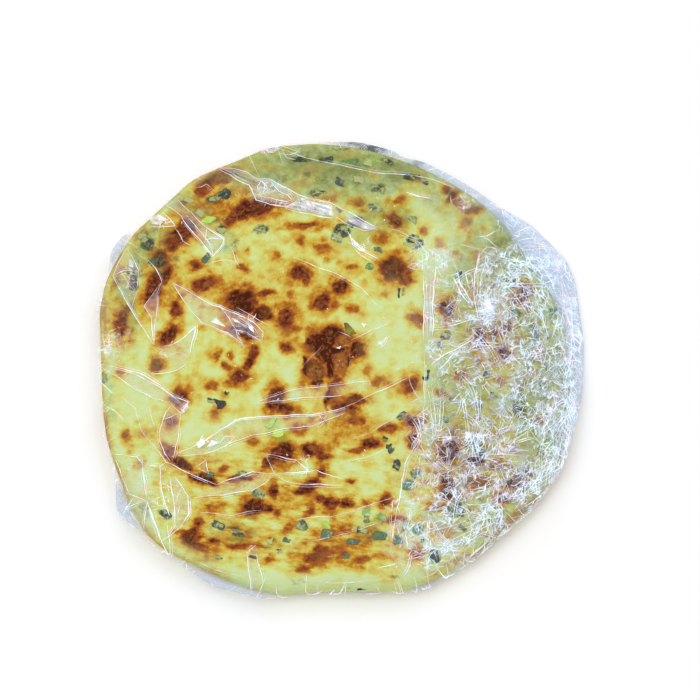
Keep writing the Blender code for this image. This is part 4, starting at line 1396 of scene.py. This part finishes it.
# How bright, how thick, then x and y of each point of the line
creasesAndGlints = (
    (0.8, 1.0, 215, 167, 230, 175, 249, 185, 253, 193, 256, 200, 266, 203, 279, 206, 288, 207),
    (0.8, 0.9, 220, 168, 235, 169, 247, 172, 257, 179, 270, 179, 282, 186, 295, 193, 313, 199, 331, 203,
        344, 210),
    (0.8, 0.9, 257, 187, 261, 181, 265, 184, 264, 190, 262, 195, 257, 187),
    (0.9, 0.9, 270, 180, 275, 187, 280, 192, 288, 195, 292, 200, 287, 202, 276, 200, 266, 197),
    (0.7, 0.8, 300, 198, 331, 205, 334, 218, 310, 214, 285, 208, 300, 198),
    (0.6, 0.8, 296, 194, 300, 204, 296, 210), (0.6, 0.8, 322, 203, 324, 212, 321, 216),
    (0.6, 0.8, 335, 206, 356, 216, 379, 228), (0.5, 0.7, 335, 215, 345, 223, 364, 231, 376, 228),
    (0.4, 0.7, 387, 228, 403, 232),
    (0.9, 1.0, 178, 200, 192, 213, 207, 228, 224, 239, 223, 244, 213, 256, 202, 242, 190, 229, 181, 216,
        166, 205),
    (0.7, 0.8, 188, 218, 198, 229, 207, 240, 211, 247, 213, 255),
    (0.8, 0.8, 207, 228, 205, 240, 212, 238, 224, 239), (0.7, 0.7, 205, 240, 213, 246, 213, 255),
    (0.8, 0.9, 152, 221, 163, 213, 170, 219, 175, 226, 160, 227, 149, 226),
    (0.5, 0.7, 155, 216, 164, 221, 172, 218), (0.45, 0.7, 175, 228, 183, 241, 191, 246),
    (0.5, 0.7, 196, 188, 201, 187, 207, 184, 212, 189, 208, 191),
    (0.7, 0.9, 127, 249, 119, 262, 113, 276, 122, 293, 131, 309, 143, 328, 154, 345),
    (0.6, 0.8, 127, 249, 134, 260, 139, 271, 138, 282, 137, 293, 132, 307),
    (0.7, 0.8, 113, 276, 126, 270, 138, 272), (0.5, 0.7, 118, 268, 128, 283, 137, 294),
    (0.55, 0.8, 134, 250, 144, 258, 153, 265, 162, 282, 157, 294, 156, 318, 155, 345),
    (0.7, 0.8, 162, 282, 153, 294, 144, 306, 151, 317, 154, 345),
    (0.8, 1.0, 173, 283, 191, 293, 210, 304, 220, 307, 237, 314, 253, 322, 263, 332, 262, 343),
    (0.8, 0.9, 173, 283, 180, 295, 188, 306, 195, 315, 202, 323, 210, 325, 228, 333, 244, 346),
    (0.7, 0.8, 262, 343, 254, 337, 246, 332, 236, 330, 238, 337, 244, 346),
    (0.7, 0.8, 220, 307, 229, 318, 236, 330), (0.8, 1.2, 234, 319, 242, 324, 249, 328),
    (0.7, 1.0, 239, 317, 251, 325, 258, 334), (0.45, 0.6, 236, 307, 252, 316, 269, 325),
    (0.7, 0.9, 157, 348, 171, 345, 186, 336, 196, 327, 192, 342, 188, 358),
    (0.75, 0.8, 157, 348, 163, 350, 159, 354, 165, 355, 168, 358),
    (0.6, 0.8, 189, 361, 184, 366, 178, 370, 166, 373, 152, 374, 144, 367),
    (0.45, 0.7, 168, 357, 180, 352, 188, 358),
    (0.7, 1.0, 100, 364, 114, 367, 129, 371, 144, 375, 160, 385, 170, 394, 180, 403),
    (0.55, 0.8, 100, 366, 120, 378, 139, 391, 153, 398, 168, 403),
    (0.6, 0.8, 106, 366, 120, 370, 135, 374, 152, 383, 170, 394, 188, 402, 181, 413),
    (0.8, 0.9, 171, 406, 166, 412, 163, 420, 160, 430, 160, 441, 165, 454, 170, 461),
    (0.8, 0.9, 180, 413, 180, 422, 179, 431, 176, 446, 173, 459),
    (0.7, 0.8, 171, 396, 180, 399, 188, 402, 181, 413, 171, 404), (0.6, 0.7, 163, 420, 171, 417, 180, 413),
    (0.85, 1.0, 176, 454, 188, 449, 199, 444, 210, 437, 220, 430, 236, 420, 259, 417, 285, 416, 310, 415,
        319, 414, 332, 411, 345, 407),
    (0.65, 0.8, 178, 456, 192, 455, 204, 454, 225, 446, 239, 440, 253, 435, 277, 430, 295, 428, 314, 426,
        330, 419, 345, 413),
    (0.6, 0.8, 207, 451, 213, 445, 220, 443, 225, 436, 236, 436, 231, 441, 222, 449),
    (0.6, 0.8, 318, 415, 326, 420, 314, 428), (0.45, 0.8, 345, 407, 364, 398, 388, 388, 410, 377),
    (0.45, 0.8, 254, 404, 274, 396, 295, 389, 318, 387, 345, 384, 369, 381, 372, 386),
    (0.5, 0.8, 254, 404, 273, 401, 292, 399, 318, 397, 345, 395),
    (0.6, 0.8, 266, 454, 270, 464, 275, 474, 284, 480, 292, 483, 320, 484, 345, 485),
    (0.6, 0.8, 266, 454, 282, 457, 296, 460, 308, 470, 301, 475),
    (0.6, 0.8, 275, 474, 288, 473, 301, 472, 316, 470, 322, 473, 345, 480),
    (0.6, 0.9, 217, 485, 235, 478, 252, 472, 275, 474),
    (0.6, 0.9, 194, 498, 223, 495, 252, 491, 264, 484, 275, 474),
    (0.8, 0.9, 166, 462, 160, 467, 161, 488, 164, 500, 168, 511, 170, 516),
    (0.6, 0.8, 168, 464, 160, 453, 150, 441), (0.7, 0.8, 166, 462, 180, 469, 198, 477, 217, 485),
    (0.8, 0.8, 196, 467, 206, 460, 209, 474, 196, 467),
    (0.9, 1.0, 175, 477, 182, 486, 188, 496, 189, 514, 181, 527, 171, 535, 161, 542),
    (0.9, 1.0, 171, 478, 173, 496, 175, 517, 175, 526, 168, 537),
    (0.6, 0.8, 182, 486, 177, 497, 180, 508, 175, 517), (0.8, 0.9, 147, 501, 137, 497, 126, 493),
    (0.8, 0.9, 147, 501, 136, 504, 126, 508, 127, 498), (0.7, 0.9, 147, 501, 144, 480, 142, 460),
    (0.7, 0.9, 147, 501, 145, 515, 143, 530), (0.7, 0.9, 147, 501, 154, 521, 160, 540),
    (0.7, 0.8, 147, 501, 158, 530, 170, 558, 169, 537, 168, 516), (0.7, 0.8, 116, 460, 122, 477, 129, 493),
    (0.6, 0.8, 111, 454, 124, 455, 137, 457, 143, 464, 145, 480, 147, 496),
    (0.6, 0.8, 126, 508, 134, 517, 143, 530), (0.6, 0.8, 256, 545, 250, 550, 247, 553, 249, 574, 251, 594),
    (0.7, 0.8, 256, 553, 259, 567, 263, 581), (0.6, 0.8, 103, 404, 114, 410, 124, 420),
    (0.5, 0.8, 101, 382, 108, 389, 114, 394),
    (0.6, 0.8, 273, 147, 303, 157, 335, 164, 358, 169, 397, 174, 431, 179, 460, 190),
    (0.6, 0.8, 258, 151, 268, 147, 281, 146, 298, 152, 290, 155, 276, 153),
    (0.5, 0.7, 281, 146, 287, 158, 296, 160), (0.5, 0.7, 405, 193, 422, 197, 439, 201),
    (0.85, 1.0, 347, 231, 351, 238, 356, 244, 366, 253, 379, 260),
    (0.8, 0.9, 350, 234, 353, 245, 360, 250, 367, 253, 379, 260), (0.6, 0.7, 352, 246, 362, 256, 372, 262),
    (0.45, 0.8, 293, 257, 319, 268, 345, 278, 358, 286, 370, 297, 380, 307),
    (0.35, 0.9, 351, 340, 372, 330, 393, 320), (0.8, 0.9, 377, 346, 389, 337, 385, 344, 380, 348),
    (1.0, 1.1, 424, 275, 425, 300, 424, 320, 424, 340),
    (1.0, 1.3, 436, 263, 435, 278, 434, 293, 433, 315, 432, 336), (0.5, 0.7, 426, 276, 428, 310, 427, 340),
    (0.8, 1.0, 487, 188, 498, 196, 508, 203), (0.7, 0.8, 494, 193, 503, 202),
    (0.8, 1.2, 515, 233, 524, 229, 530, 227, 527, 219),
    (0.7, 0.9, 518, 241, 533, 238, 544, 247, 553, 258, 562, 275), (0.7, 0.9, 475, 237, 487, 236, 499, 230),
    (0.6, 0.8, 479, 236, 489, 240, 497, 247), (0.9, 1.3, 546, 222, 560, 238, 570, 260, 577, 285),
    (0.7, 1.0, 488, 186, 510, 199, 532, 213, 546, 222), (0.6, 0.9, 431, 164, 452, 171, 470, 179, 488, 186),
    (0.7, 0.9, 531, 228, 548, 226), (0.6, 0.8, 555, 262, 566, 290, 572, 320, 576, 352),
    (0.6, 0.8, 562, 285, 565, 310, 572, 336, 571, 362), (0.8, 0.9, 400, 232, 408, 236, 420, 240),
    (0.8, 0.9, 405, 192, 418, 196, 430, 199), (0.5, 0.7, 430, 268, 430, 300, 429, 338),
    (0.6, 0.8, 432, 258, 444, 264, 452, 270), (0.6, 0.8, 432, 258, 424, 250, 418, 240),
    (0.6, 0.8, 432, 258, 420, 262, 412, 268), (0.5, 0.7, 432, 258, 446, 252, 458, 246),
    (0.6, 0.8, 460, 244, 470, 247, 480, 250, 478, 258, 476, 265, 477, 276, 478, 286, 477, 307),
    (0.6, 0.8, 480, 250, 489, 254, 497, 258, 512, 261, 525, 262),
    (0.6, 0.8, 439, 268, 446, 262, 452, 258, 457, 270, 460, 283, 467, 295, 475, 305),
    (0.5, 0.8, 424, 350, 425, 375, 425, 399, 424, 431),
    (0.8, 1.0, 430, 366, 440, 358, 450, 352, 461, 346, 475, 337),
    (0.7, 0.9, 438, 370, 447, 362, 452, 355, 466, 351, 480, 343),
    (0.6, 0.8, 442, 376, 450, 366, 449, 358, 458, 350),
    (0.8, 0.9, 478, 318, 474, 296, 475, 272, 480, 254, 487, 247, 496, 249, 498, 262),
    (0.7, 0.8, 484, 320, 480, 300, 481, 276, 486, 258, 492, 254),
    (0.8, 1.0, 455, 282, 460, 292, 466, 300, 472, 306), (0.7, 0.9, 458, 280, 464, 290, 470, 300),
    (0.7, 0.8, 482, 252, 498, 256, 514, 260, 528, 266, 540, 278),
    (0.6, 0.8, 500, 268, 512, 276, 522, 270, 534, 280), (0.6, 0.8, 502, 290, 516, 282, 528, 290, 540, 300),
    (0.5, 0.7, 432, 387, 435, 412, 437, 441), (0.45, 0.7, 427, 388, 431, 414, 436, 440),
    (0.45, 0.7, 438, 385, 440, 412, 438, 440), (0.45, 0.7, 443, 390, 443, 414, 439, 438),
    (0.75, 0.9, 423, 431, 414, 448, 405, 464, 402, 480, 400, 496, 397, 509, 395, 521, 392, 540),
    (0.6, 0.8, 394, 499, 391, 514, 393, 540, 397, 514), (0.6, 0.8, 379, 568, 388, 566, 398, 563),
    (0.6, 0.8, 406, 560, 415, 558, 424, 556), (0.22, 0.5, 301, 368, 312, 356, 322, 346),
    (0.16, 0.5, 349, 351, 350, 362, 347, 372), (0.3, 0.6, 337, 331, 345, 334, 352, 338),
    (0.4, 0.8, 350, 380, 362, 382, 370, 386), (0.35, 0.6, 230, 246, 236, 262, 240, 268),
    (0.3, 0.6, 205, 265, 222, 260, 240, 262), (0.4, 0.6, 120, 395, 135, 408, 141, 430, 150, 441),
    (0.35, 0.6, 146, 390, 150, 410, 156, 430), (0.4, 0.7, 350, 440, 372, 432, 392, 420, 405, 405),
    (0.35, 0.6, 345, 462, 366, 458, 388, 448), (0.4, 0.7, 296, 520, 330, 517, 360, 508, 392, 498),
    (0.35, 0.6, 200, 512, 232, 516, 262, 510), (0.35, 0.6, 285, 545, 318, 540, 352, 532, 385, 520),
    (0.35, 0.6, 190, 560, 215, 570, 243, 576), (0.35, 0.6, 300, 580, 335, 583, 370, 580),
)


def rimCrease(tree, draw):
    # a slanting line down the side, where the gathered film is pulled under the loaf
    spec = creaseSpec
    turn = draw.uniform(0.0, 2.0 * math.pi)
    high, low = draw.uniform(*spec['rimTop']), draw.uniform(*spec['rimFoot'])
    slant = draw.uniform(-spec['rimSlant'], spec['rimSlant'])
    points = []
    for share in np.linspace(0.0, 1.0, spec['rimPoints']):
        angle = turn + slant * share + draw.gauss(0.0, spec['rimShake'])
        outward = Vector((math.cos(angle), math.sin(angle), 0.0))
        start = outward * spec['outside'] + Vector((0.0, 0.0, high + (low - high) * share))
        spot, normal, face, distance = tree.ray_cast(start, -outward)
        if spot is not None:
            points.append(spot + normal * spec['lift'])
    return points


def nearSpot(draw, x, y, halfWide, halfHigh):
    return x + draw.gauss(0.0, 0.5) * halfWide, y + draw.gauss(0.0, 0.5) * halfHigh


def makeCreases(tree, draw):
    spec = creaseSpec
    strands = []

    def lay(path, width, gleam):
        strands.append((layOnFilm(tree, path, spec['lift']), spec['thickness'] * width, gleam))

    for gleam, width, *line in creasesAndGlints:
        pixels = list(zip(line[::2], line[1::2]))
        path = bowed(pixels, draw)
        lay(path, width, gleam)
        # a fold's edge is double along part of its length
        first = draw.randint(0, len(path) // 2)
        last = draw.randint(first + len(path) // 3 + 1, len(path) + 1)
        if last - first > 3:
            away = draw.choice((-1.0, 1.0)) * draw.uniform(*spec['besideBy'])
            lay(beside(path[first:last], away), spec['besideWidth'] * width, spec['besideGleam'] * gleam)
        for x, y in pixels[1:-1]:
            for tick in range(draw.randint(0, spec['ticks'])):
                turn = draw.uniform(0.0, 2.0 * math.pi)
                length = draw.uniform(*spec['tickLength'])
                path = curlPath(draw, x, y, length, spec['tickTurn'], turn, 0.1)
                lay(path, spec['tickShare'] * width, spec['tickShare'] * gleam)
    for x, y, halfWide, halfHigh, count in scribbles:
        for scribble in range(count):
            turn = draw.uniform(0.0, 2.0 * math.pi)
            spot = nearSpot(draw, x, y, halfWide, halfHigh)
            length = draw.uniform(*spec['scribbleLength'])
            path = curlPath(draw, *spot, length, draw.gauss(0.0, spec['scribbleTurn']), turn, 0.25)
            lay(path, draw.uniform(*spec['scribbleWidth']), draw.uniform(*spec['gleam']))
    # painted glints: tiny white specks scattered over the top
    for spark in range(spec['sparks']):
        x, y = draw.uniform(*spec['sparkAcross']), draw.uniform(*spec['sparkDown'])
        turn = draw.uniform(0.0, 2.0 * math.pi)
        path = curlPath(draw, x, y, draw.uniform(*spec['sparkLength']), spec['sparkTurn'], turn)
        lay(path, draw.uniform(*spec['sparkWidth']), draw.uniform(0.3, 1.0))
    for crease in range(spec['rimCreases']):
        points = rimCrease(tree, draw)
        width = spec['thickness'] * draw.uniform(*spec['rimWidth'])
        strands.append((points, width, draw.uniform(*spec['gleam'])))
    piece = addStrands('film_creases_and_glints', strands)
    piece.data.materials.append(creaseMaterial('crease_white_glint', spec))
    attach(piece, body)


def makeFolds(tree):
    # every face is cut fine enough to follow the film, lifted a hair above it and given thickness
    corners, faces = [], []
    for amount, *outline in veilsAndGlints:
        first = len(corners)
        corners += [(x, -y, amount) for x, y in zip(outline[::2], outline[1::2])]
        faces.append(list(range(first, len(corners))))
    folds = addMesh('film_folds_and_glints', corners, faces)
    editAll()
    bpy.ops.mesh.quads_convert_to_tris()
    bpy.ops.mesh.subdivide(number_cuts=foldSpec['cuts'])
    bpy.ops.object.mode_set(mode='OBJECT')
    veil = []
    for vertex in folds.data.vertices:
        x, y, amount = vertex.co
        place = filmSpot(tree, x, -y, foldSpec['lift'])
        vertex.co = folds.data.vertices[0].co if place is None else place
        veil.append(amount)
    writeField(folds, 'veil', veil)
    thick = folds.modifiers.new('thickness', 'SOLIDIFY')
    thick.thickness = foldSpec['thickness']
    bpy.ops.object.modifier_apply(modifier='thickness')
    faceOutward()
    folds.data.materials.append(foldMaterial())
    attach(folds, body)


def foldMaterial():
    material, start, place = newMaterial('folded_film_and_glints')
    veil = start.field('veil')
    shift = start.noise(place.stretched(-22.0, 0.4, 0.3), 460.0, 3.0, 0.6) - 0.5
    cover = (veil * (1.0 + shift * 2.2)).atMost(0.95).atLeast(0.0)
    # whiter and brighter where the amount is high: painted glints, with a painted glow
    colour = (veil + shift * 0.6).between(0.35, 0.70).mixColours(*foldSpec['tints'])
    doubled = start.paintedGlow(colour, 0.25, foldSpec['glow'])
    return finishMaterial(material, (cover * (cover * 0.85 + 0.09)).mixShaders(start.clear(), doubled))


# The crumpled film on the right: a net of creases, long sweeps, fans of rays and tiny curls, white strands
# with a painted glow for the light that they catch

crumpleSpec = {
    'thickness': 0.20 * mm,
    'lift': 0.15 * mm,
    'warm': (244, 234, 250),  # the warmer of the two whites
    'coolShare': 0.58,
    'glow': 0.34,
    'brightness': 1.0,
    'across': (400, 585),  # pixels between which the crumples lie
    'down': (180, 585),
    'crowdReach': 1.6,  # half sizes of a zone that its curls reach
    'knots': 760,  # points that the net of creases joins
    'joins': 2,  # from each knot
    'reach': (3.0, 25.0),  # pixels between joined points
    'slant': 2.4,  # how much sooner a knot joins along its heading than across it
    'sweeps': 120,
    'sweepLength': (18.0, 58.0),
    'sweepTurn': 35.0,
    'doubled': 0.5,  # share of the sweeps with a second line beside them
    'besideBy': (1.5, 3.5),
    'curls': 300,
    'curlLength': (3.5, 15.0),  # pixels
    'curlTurn': 60.0,  # degrees over its length
    'flowLength': 34.0,  # pixels over which the creases' direction changes
    'flowSpread': 0.45,  # radians
    'rimSpread': 0.55,
    'tangleShare': 0.6,  # of the curls counted below
    'bundles': 60,
    'raysInBundle': (2, 5),
    'rayLength': (6.0, 18.0),
    'rayTurn': 20.0,
    'raySpread': 0.16,
    'bundleSpread': 3.5,  # pixels
    'heart': (343, 370),  # middle of the bread in the picture
    'rimFrom': 190.0,  # pixels from there
}
# Points that creases spray from: x, y, first and last direction in degrees, how many, how long in pixels
starNodes = (
    (448, 470, 60, 125, 8, 24), (424, 484, 0, 330, 9, 18), (485, 455, 10, 30, 5, 40),
    (511, 497, 20, 120, 6, 22), (470, 556, 20, 50, 5, 40),
)
# Tangles of tiny curls: x, y, half width, half height, how many
tangles = (
    (491, 306, 9, 22, 150), (510, 268, 16, 8, 50), (529, 298, 10, 14, 44), (495, 224, 12, 5, 14),
    (515, 240, 8, 8, 20), (530, 262, 8, 10, 34), (546, 288, 7, 12, 34), (560, 318, 5, 14, 30),
    (552, 452, 9, 24, 70), (532, 482, 14, 10, 60), (486, 512, 14, 8, 44), (519, 405, 8, 20, 40),
    (480, 436, 12, 8, 30), (568, 380, 5, 44, 60), (436, 262, 7, 12, 20), (513, 425, 12, 6, 36),
    (450, 548, 16, 6, 30), (441, 262, 9, 20, 22), (530, 350, 12, 16, 30),
)
# Where the curls crowd: x, y, half width, half height, turn, density
curlZones = (
    (488, 308, 10, 18, 10, 1.5), (508, 280, 14, 8, 20, 1.3), (520, 268, 22, 8, 35, 1.1),
    (494, 262, 14, 8, 0, 1.0), (552, 452, 9, 30, 10, 1.4), (534, 480, 16, 10, -40, 1.5),
    (486, 512, 18, 10, 20, 1.4), (570, 396, 6, 44, 4, 1.4), (516, 424, 16, 7, -20, 1.4),
    (480, 436, 14, 9, 0, 1.2), (436, 350, 8, 12, 30, 1.0), (470, 400, 12, 7, 0, 1.1),
    (455, 545, 24, 6, 20, 1.2), (436, 562, 12, 6, 20, 1.2), (535, 310, 16, 14, 0, 1.1),
    (424, 448, 8, 10, 0, 1.0), (495, 315, 26, 30, 0, 0.9), (519, 405, 18, 30, 0, 0.8),
    (481, 438, 22, 22, 0, 0.8), (552, 420, 18, 60, 0, 1.0), (562, 330, 18, 50, -6, 0.8),
    (530, 290, 24, 30, -30, 0.8), (505, 262, 26, 14, 20, 0.7), (530, 486, 18, 30, 30, 1.0),
    (490, 528, 40, 14, -32, 0.9), (444, 552, 34, 10, -20, 0.6), (440, 500, 34, 34, 0, 0.7),
    (430, 440, 22, 40, 0, 0.5), (470, 370, 36, 34, 0, 0.6), (448, 300, 22, 44, 0, 0.4),
    (490, 470, 30, 40, 0, 0.7), (415, 535, 26, 30, 0, 0.5), (525, 350, 26, 34, 0, 0.7),
    (435, 262, 22, 14, 0, 0.5), (470, 200, 16, 8, 30, 0.4), (545, 250, 20, 14, 40, 0.5),
    (500, 420, 60, 90, 0, 0.35), (460, 330, 50, 90, 0, 0.22), (118, 340, 12, 26, 0, 0.35),
    (150, 490, 26, 40, -20, 0.25), (270, 190, 16, 12, 0, 0.5), (573, 335, 10, 60, 0, 0.9),
    (557, 268, 14, 34, -38, 0.8), (522, 222, 20, 8, -32, 0.5), (570, 430, 10, 60, 8, 1.0),
)


def curlDensity(across, down):
    density = np.zeros(np.shape(across))
    for zone in curlZones:
        crowd = np.clip(crumpleSpec['crowdReach'] - ellipseReach(across, down, zone), 0.0, 1.0)
        density = np.maximum(density, zone[5] * crowd)
    return density


def pickSpot(draw):
    while True:
        x, y = draw.uniform(*crumpleSpec['across']), draw.uniform(*crumpleSpec['down'])
        if draw.random() < curlDensity(np.array(x), np.array(y)) ** 2:
            return x, y


def curlHeading(draw, x, y):
    # near the rim most creases run along it
    heartX, heartY = crumpleSpec['heart']
    if math.hypot(x - heartX, y - heartY) > crumpleSpec['rimFrom']:
        away = math.atan2(y - heartY, x - heartX)
        return away + math.pi / 2 + draw.gauss(0.0, crumpleSpec['rimSpread'])
    # neighbours run alike, so that they gather in bundles
    flow = noise.noise(Vector((x, y, 0.0)) / crumpleSpec['flowLength'])
    return flow * 2.0 * math.pi + draw.gauss(0.0, crumpleSpec['flowSpread'])


def curlPath(draw, x, y, length, turn, heading, shake=0.35):
    # a line that turns so many degrees over its length and wavers by the shake
    steps = max(3, int(length / strandSpec['curlStep']))
    path = [(x, y)]
    for step in range(steps):
        heading += math.radians(turn) / steps + draw.uniform(-shake, shake)
        x += math.cos(heading) * length / steps
        y += math.sin(heading) * length / steps
        path.append((x, y))
    return path


def netOfCreases(draw):
    # each knot is joined to its nearest along the way that the creases run there
    spec = crumpleSpec
    nearest, furthest = spec['reach']
    outOfReach = 999.0
    knots = np.array([pickSpot(draw) for knot in range(spec['knots'])])
    paths = []
    for x, y in knots:
        heading = curlHeading(draw, x, y)
        away = knots - (x, y)
        along = away @ (math.cos(heading), math.sin(heading))
        across = away @ (-math.sin(heading), math.cos(heading))
        far = np.hypot(away[:, 0], away[:, 1])
        slanted = np.hypot(along, spec['slant'] * across)
        far = np.where((far < nearest) | (far > furthest), outOfReach, slanted)
        for other in np.argsort(far)[:spec['joins']]:
            if far[other] < outOfReach:
                paths.append(bowed(((x, y), tuple(knots[other])), draw, 0.16, 0.3, 3.0))
    return paths


def makeCrumple(tree, draw):
    spec = crumpleSpec
    strands = []

    def lay(path, rise, width, gleam):
        points = layOnFilm(tree, path, spec['lift'] + rise)
        strands.append((points, spec['thickness'] * width, gleam))

    def curlFrom(x, y):
        length = draw.uniform(*spec['curlLength'])
        return curlPath(draw, x, y, length, draw.gauss(0.0, spec['curlTurn']), curlHeading(draw, x, y))

    for path in netOfCreases(draw):
        lay(path, draw.uniform(0.0, 0.3) * mm, draw.uniform(0.4, 1.1), draw.uniform(0.3, 1.0))
    for sweep in range(spec['sweeps']):
        x, y = pickSpot(draw)
        length, turn = draw.uniform(*spec['sweepLength']), draw.gauss(0.0, spec['sweepTurn'])
        path = curlPath(draw, x, y, length, turn, curlHeading(draw, x, y), 0.08)
        gleam = draw.uniform(0.6, 1.0)
        lay(path, 0.0, draw.uniform(0.5, 1.0), gleam)
        if draw.random() < spec['doubled']:
            second = beside(path, draw.uniform(*spec['besideBy']))
            lay(second, 0.0, draw.uniform(0.5, 1.0), gleam * 0.7)
    for x, y, first, last, rays, length in starNodes:
        for ray in range(rays):
            away = -math.radians(first + (last - first) * ray / (rays - 1)) + draw.gauss(0.0, 0.06)
            reach = length * draw.uniform(0.55, 1.1)
            path = curlPath(draw, x, y, reach, draw.gauss(0.0, 14.0), away, 0.10)
            lay(path, 0.0, draw.uniform(0.4, 0.8), draw.uniform(0.4, 0.8))
    for bundle in range(spec['bundles']):
        x, y = pickSpot(draw)
        heading = curlHeading(draw, x, y)
        gleam = draw.uniform(0.45, 1.0)
        for ray in range(draw.randint(*spec['raysInBundle'])):
            length = draw.uniform(*spec['rayLength'])
            spread = spec['bundleSpread']
            start = x + draw.gauss(0.0, spread), y + draw.gauss(0.0, spread)
            turn, swing = draw.gauss(0.0, spec['rayTurn']), draw.gauss(0.0, spec['raySpread'])
            path = curlPath(draw, *start, length, turn, heading + swing, 0.12)
            rise, width = draw.uniform(0.0, 0.4) * mm, draw.uniform(0.5, 1.2)
            lay(path, rise, width, gleam * draw.uniform(0.5, 1.0))
    for x, y, halfWide, halfHigh, count in tangles:
        for curl in range(int(count * spec['tangleShare'])):
            path = curlFrom(*nearSpot(draw, x, y, halfWide, halfHigh))
            lay(path, draw.uniform(0.0, 0.4) * mm, draw.uniform(0.5, 1.1), draw.uniform(0.4, 1.0))
    for curl in range(spec['curls']):
        path = curlFrom(*pickSpot(draw))
        lay(path, 0.0, draw.uniform(0.5, 1.2), draw.uniform(0.3, 1.0))
    lines = addStrands('crumple_creases_and_glints', strands)
    lines.data.materials.append(creaseMaterial('crumple_white_glint', spec))
    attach(lines, body)


# Light, floor and camera

studioSpec = {
    'floorSize': 6.0,
    'floorTones': ((247, 247, 248), (250, 250, 251)),
    'aim': (0.0, 0.0, 0.01),  # where the lamps point
    'skyStrength': 0.62,
    'key': {'place': (-0.5, -0.3, 1.5), 'size': 1.2, 'power': 9.0},
    'fill': {'place': (0.8, 0.6, 1.2), 'size': 1.0, 'power': 3.0},
    'strips': (
        {'place': (-0.35, 1.0, 1.4), 'size': 0.04, 'sizeY': 0.8, 'power': 1.5},
        {'place': (0.40, 0.9, 1.5), 'size': 0.04, 'sizeY': 0.8, 'power': 1.5},
        {'place': (0.0, 0.15, 1.7), 'size': 0.8, 'sizeY': 0.04, 'power': 1.2},
    ),
}


def addLamp(name, spec):
    bpy.ops.object.select_all(action='DESELECT')
    bpy.ops.object.light_add(type='AREA', location=spec['place'])
    lamp = named(name)
    lamp.data.shape = 'RECTANGLE'
    lamp.data.size = spec['size']
    lamp.data.size_y = spec.get('sizeY', spec['size'])
    lamp.data.energy = spec['power']
    aim = Vector(studioSpec['aim']) - lamp.location
    lamp.rotation_euler = aim.to_track_quat('-Z', 'Y').to_euler()


def makeStudio():
    bpy.ops.object.select_all(action='DESELECT')
    bpy.ops.mesh.primitive_plane_add(size=studioSpec['floorSize'])
    floor = named('floor')
    material, start, place = newMaterial('floor_white')
    grain = start.noise(place, 40.0, 2.0, 0.5)
    shade = grain.mixColours(*studioSpec['floorTones'])
    shader = start.node('BsdfPrincipled', {}, {'Base Color': shade, 'Roughness': 0.8})
    floor.data.materials.append(finishMaterial(material, shader))
    addLamp('key', studioSpec['key'])
    addLamp('fill', studioSpec['fill'])
    for number, strip in enumerate(studioSpec['strips'], 1):
        addLamp(f'strip_{number}', strip)
    world = bpy.data.worlds.new('studio_air')
    world.use_nodes = True
    sky = world.node_tree.nodes['Background']
    sky.inputs['Color'].default_value = (1.0, 1.0, 1.0, 1.0)
    sky.inputs['Strength'].default_value = studioSpec['skyStrength']
    bpy.context.scene.world = world


def makeCamera():
    bpy.ops.object.camera_add(location=cameraPlace)
    camera = named('photo_camera')
    camera.rotation_euler = Vector(forward).to_track_quat('-Z', 'Y').to_euler()
    camera.data.lens = photo['lens']
    camera.data.sensor_width = photo['sensor']
    bpy.context.scene.camera = camera
    bpy.context.scene.view_settings.view_transform = 'Standard'


print('studio')
makeCamera()
makeStudio()
print('loaf')
patir = makePatir()
print('green onion')
makeOnionBits(treeOf(patir), random.Random(3))
print('film')
film = makeFilm()
print('folds')
filmTree = treeOf(film)
makeFolds(filmTree)
print('creasesAndGlints')
makeCreases(filmTree, random.Random(5))
print('crumpled film')
makeCrumple(filmTree, random.Random(11))
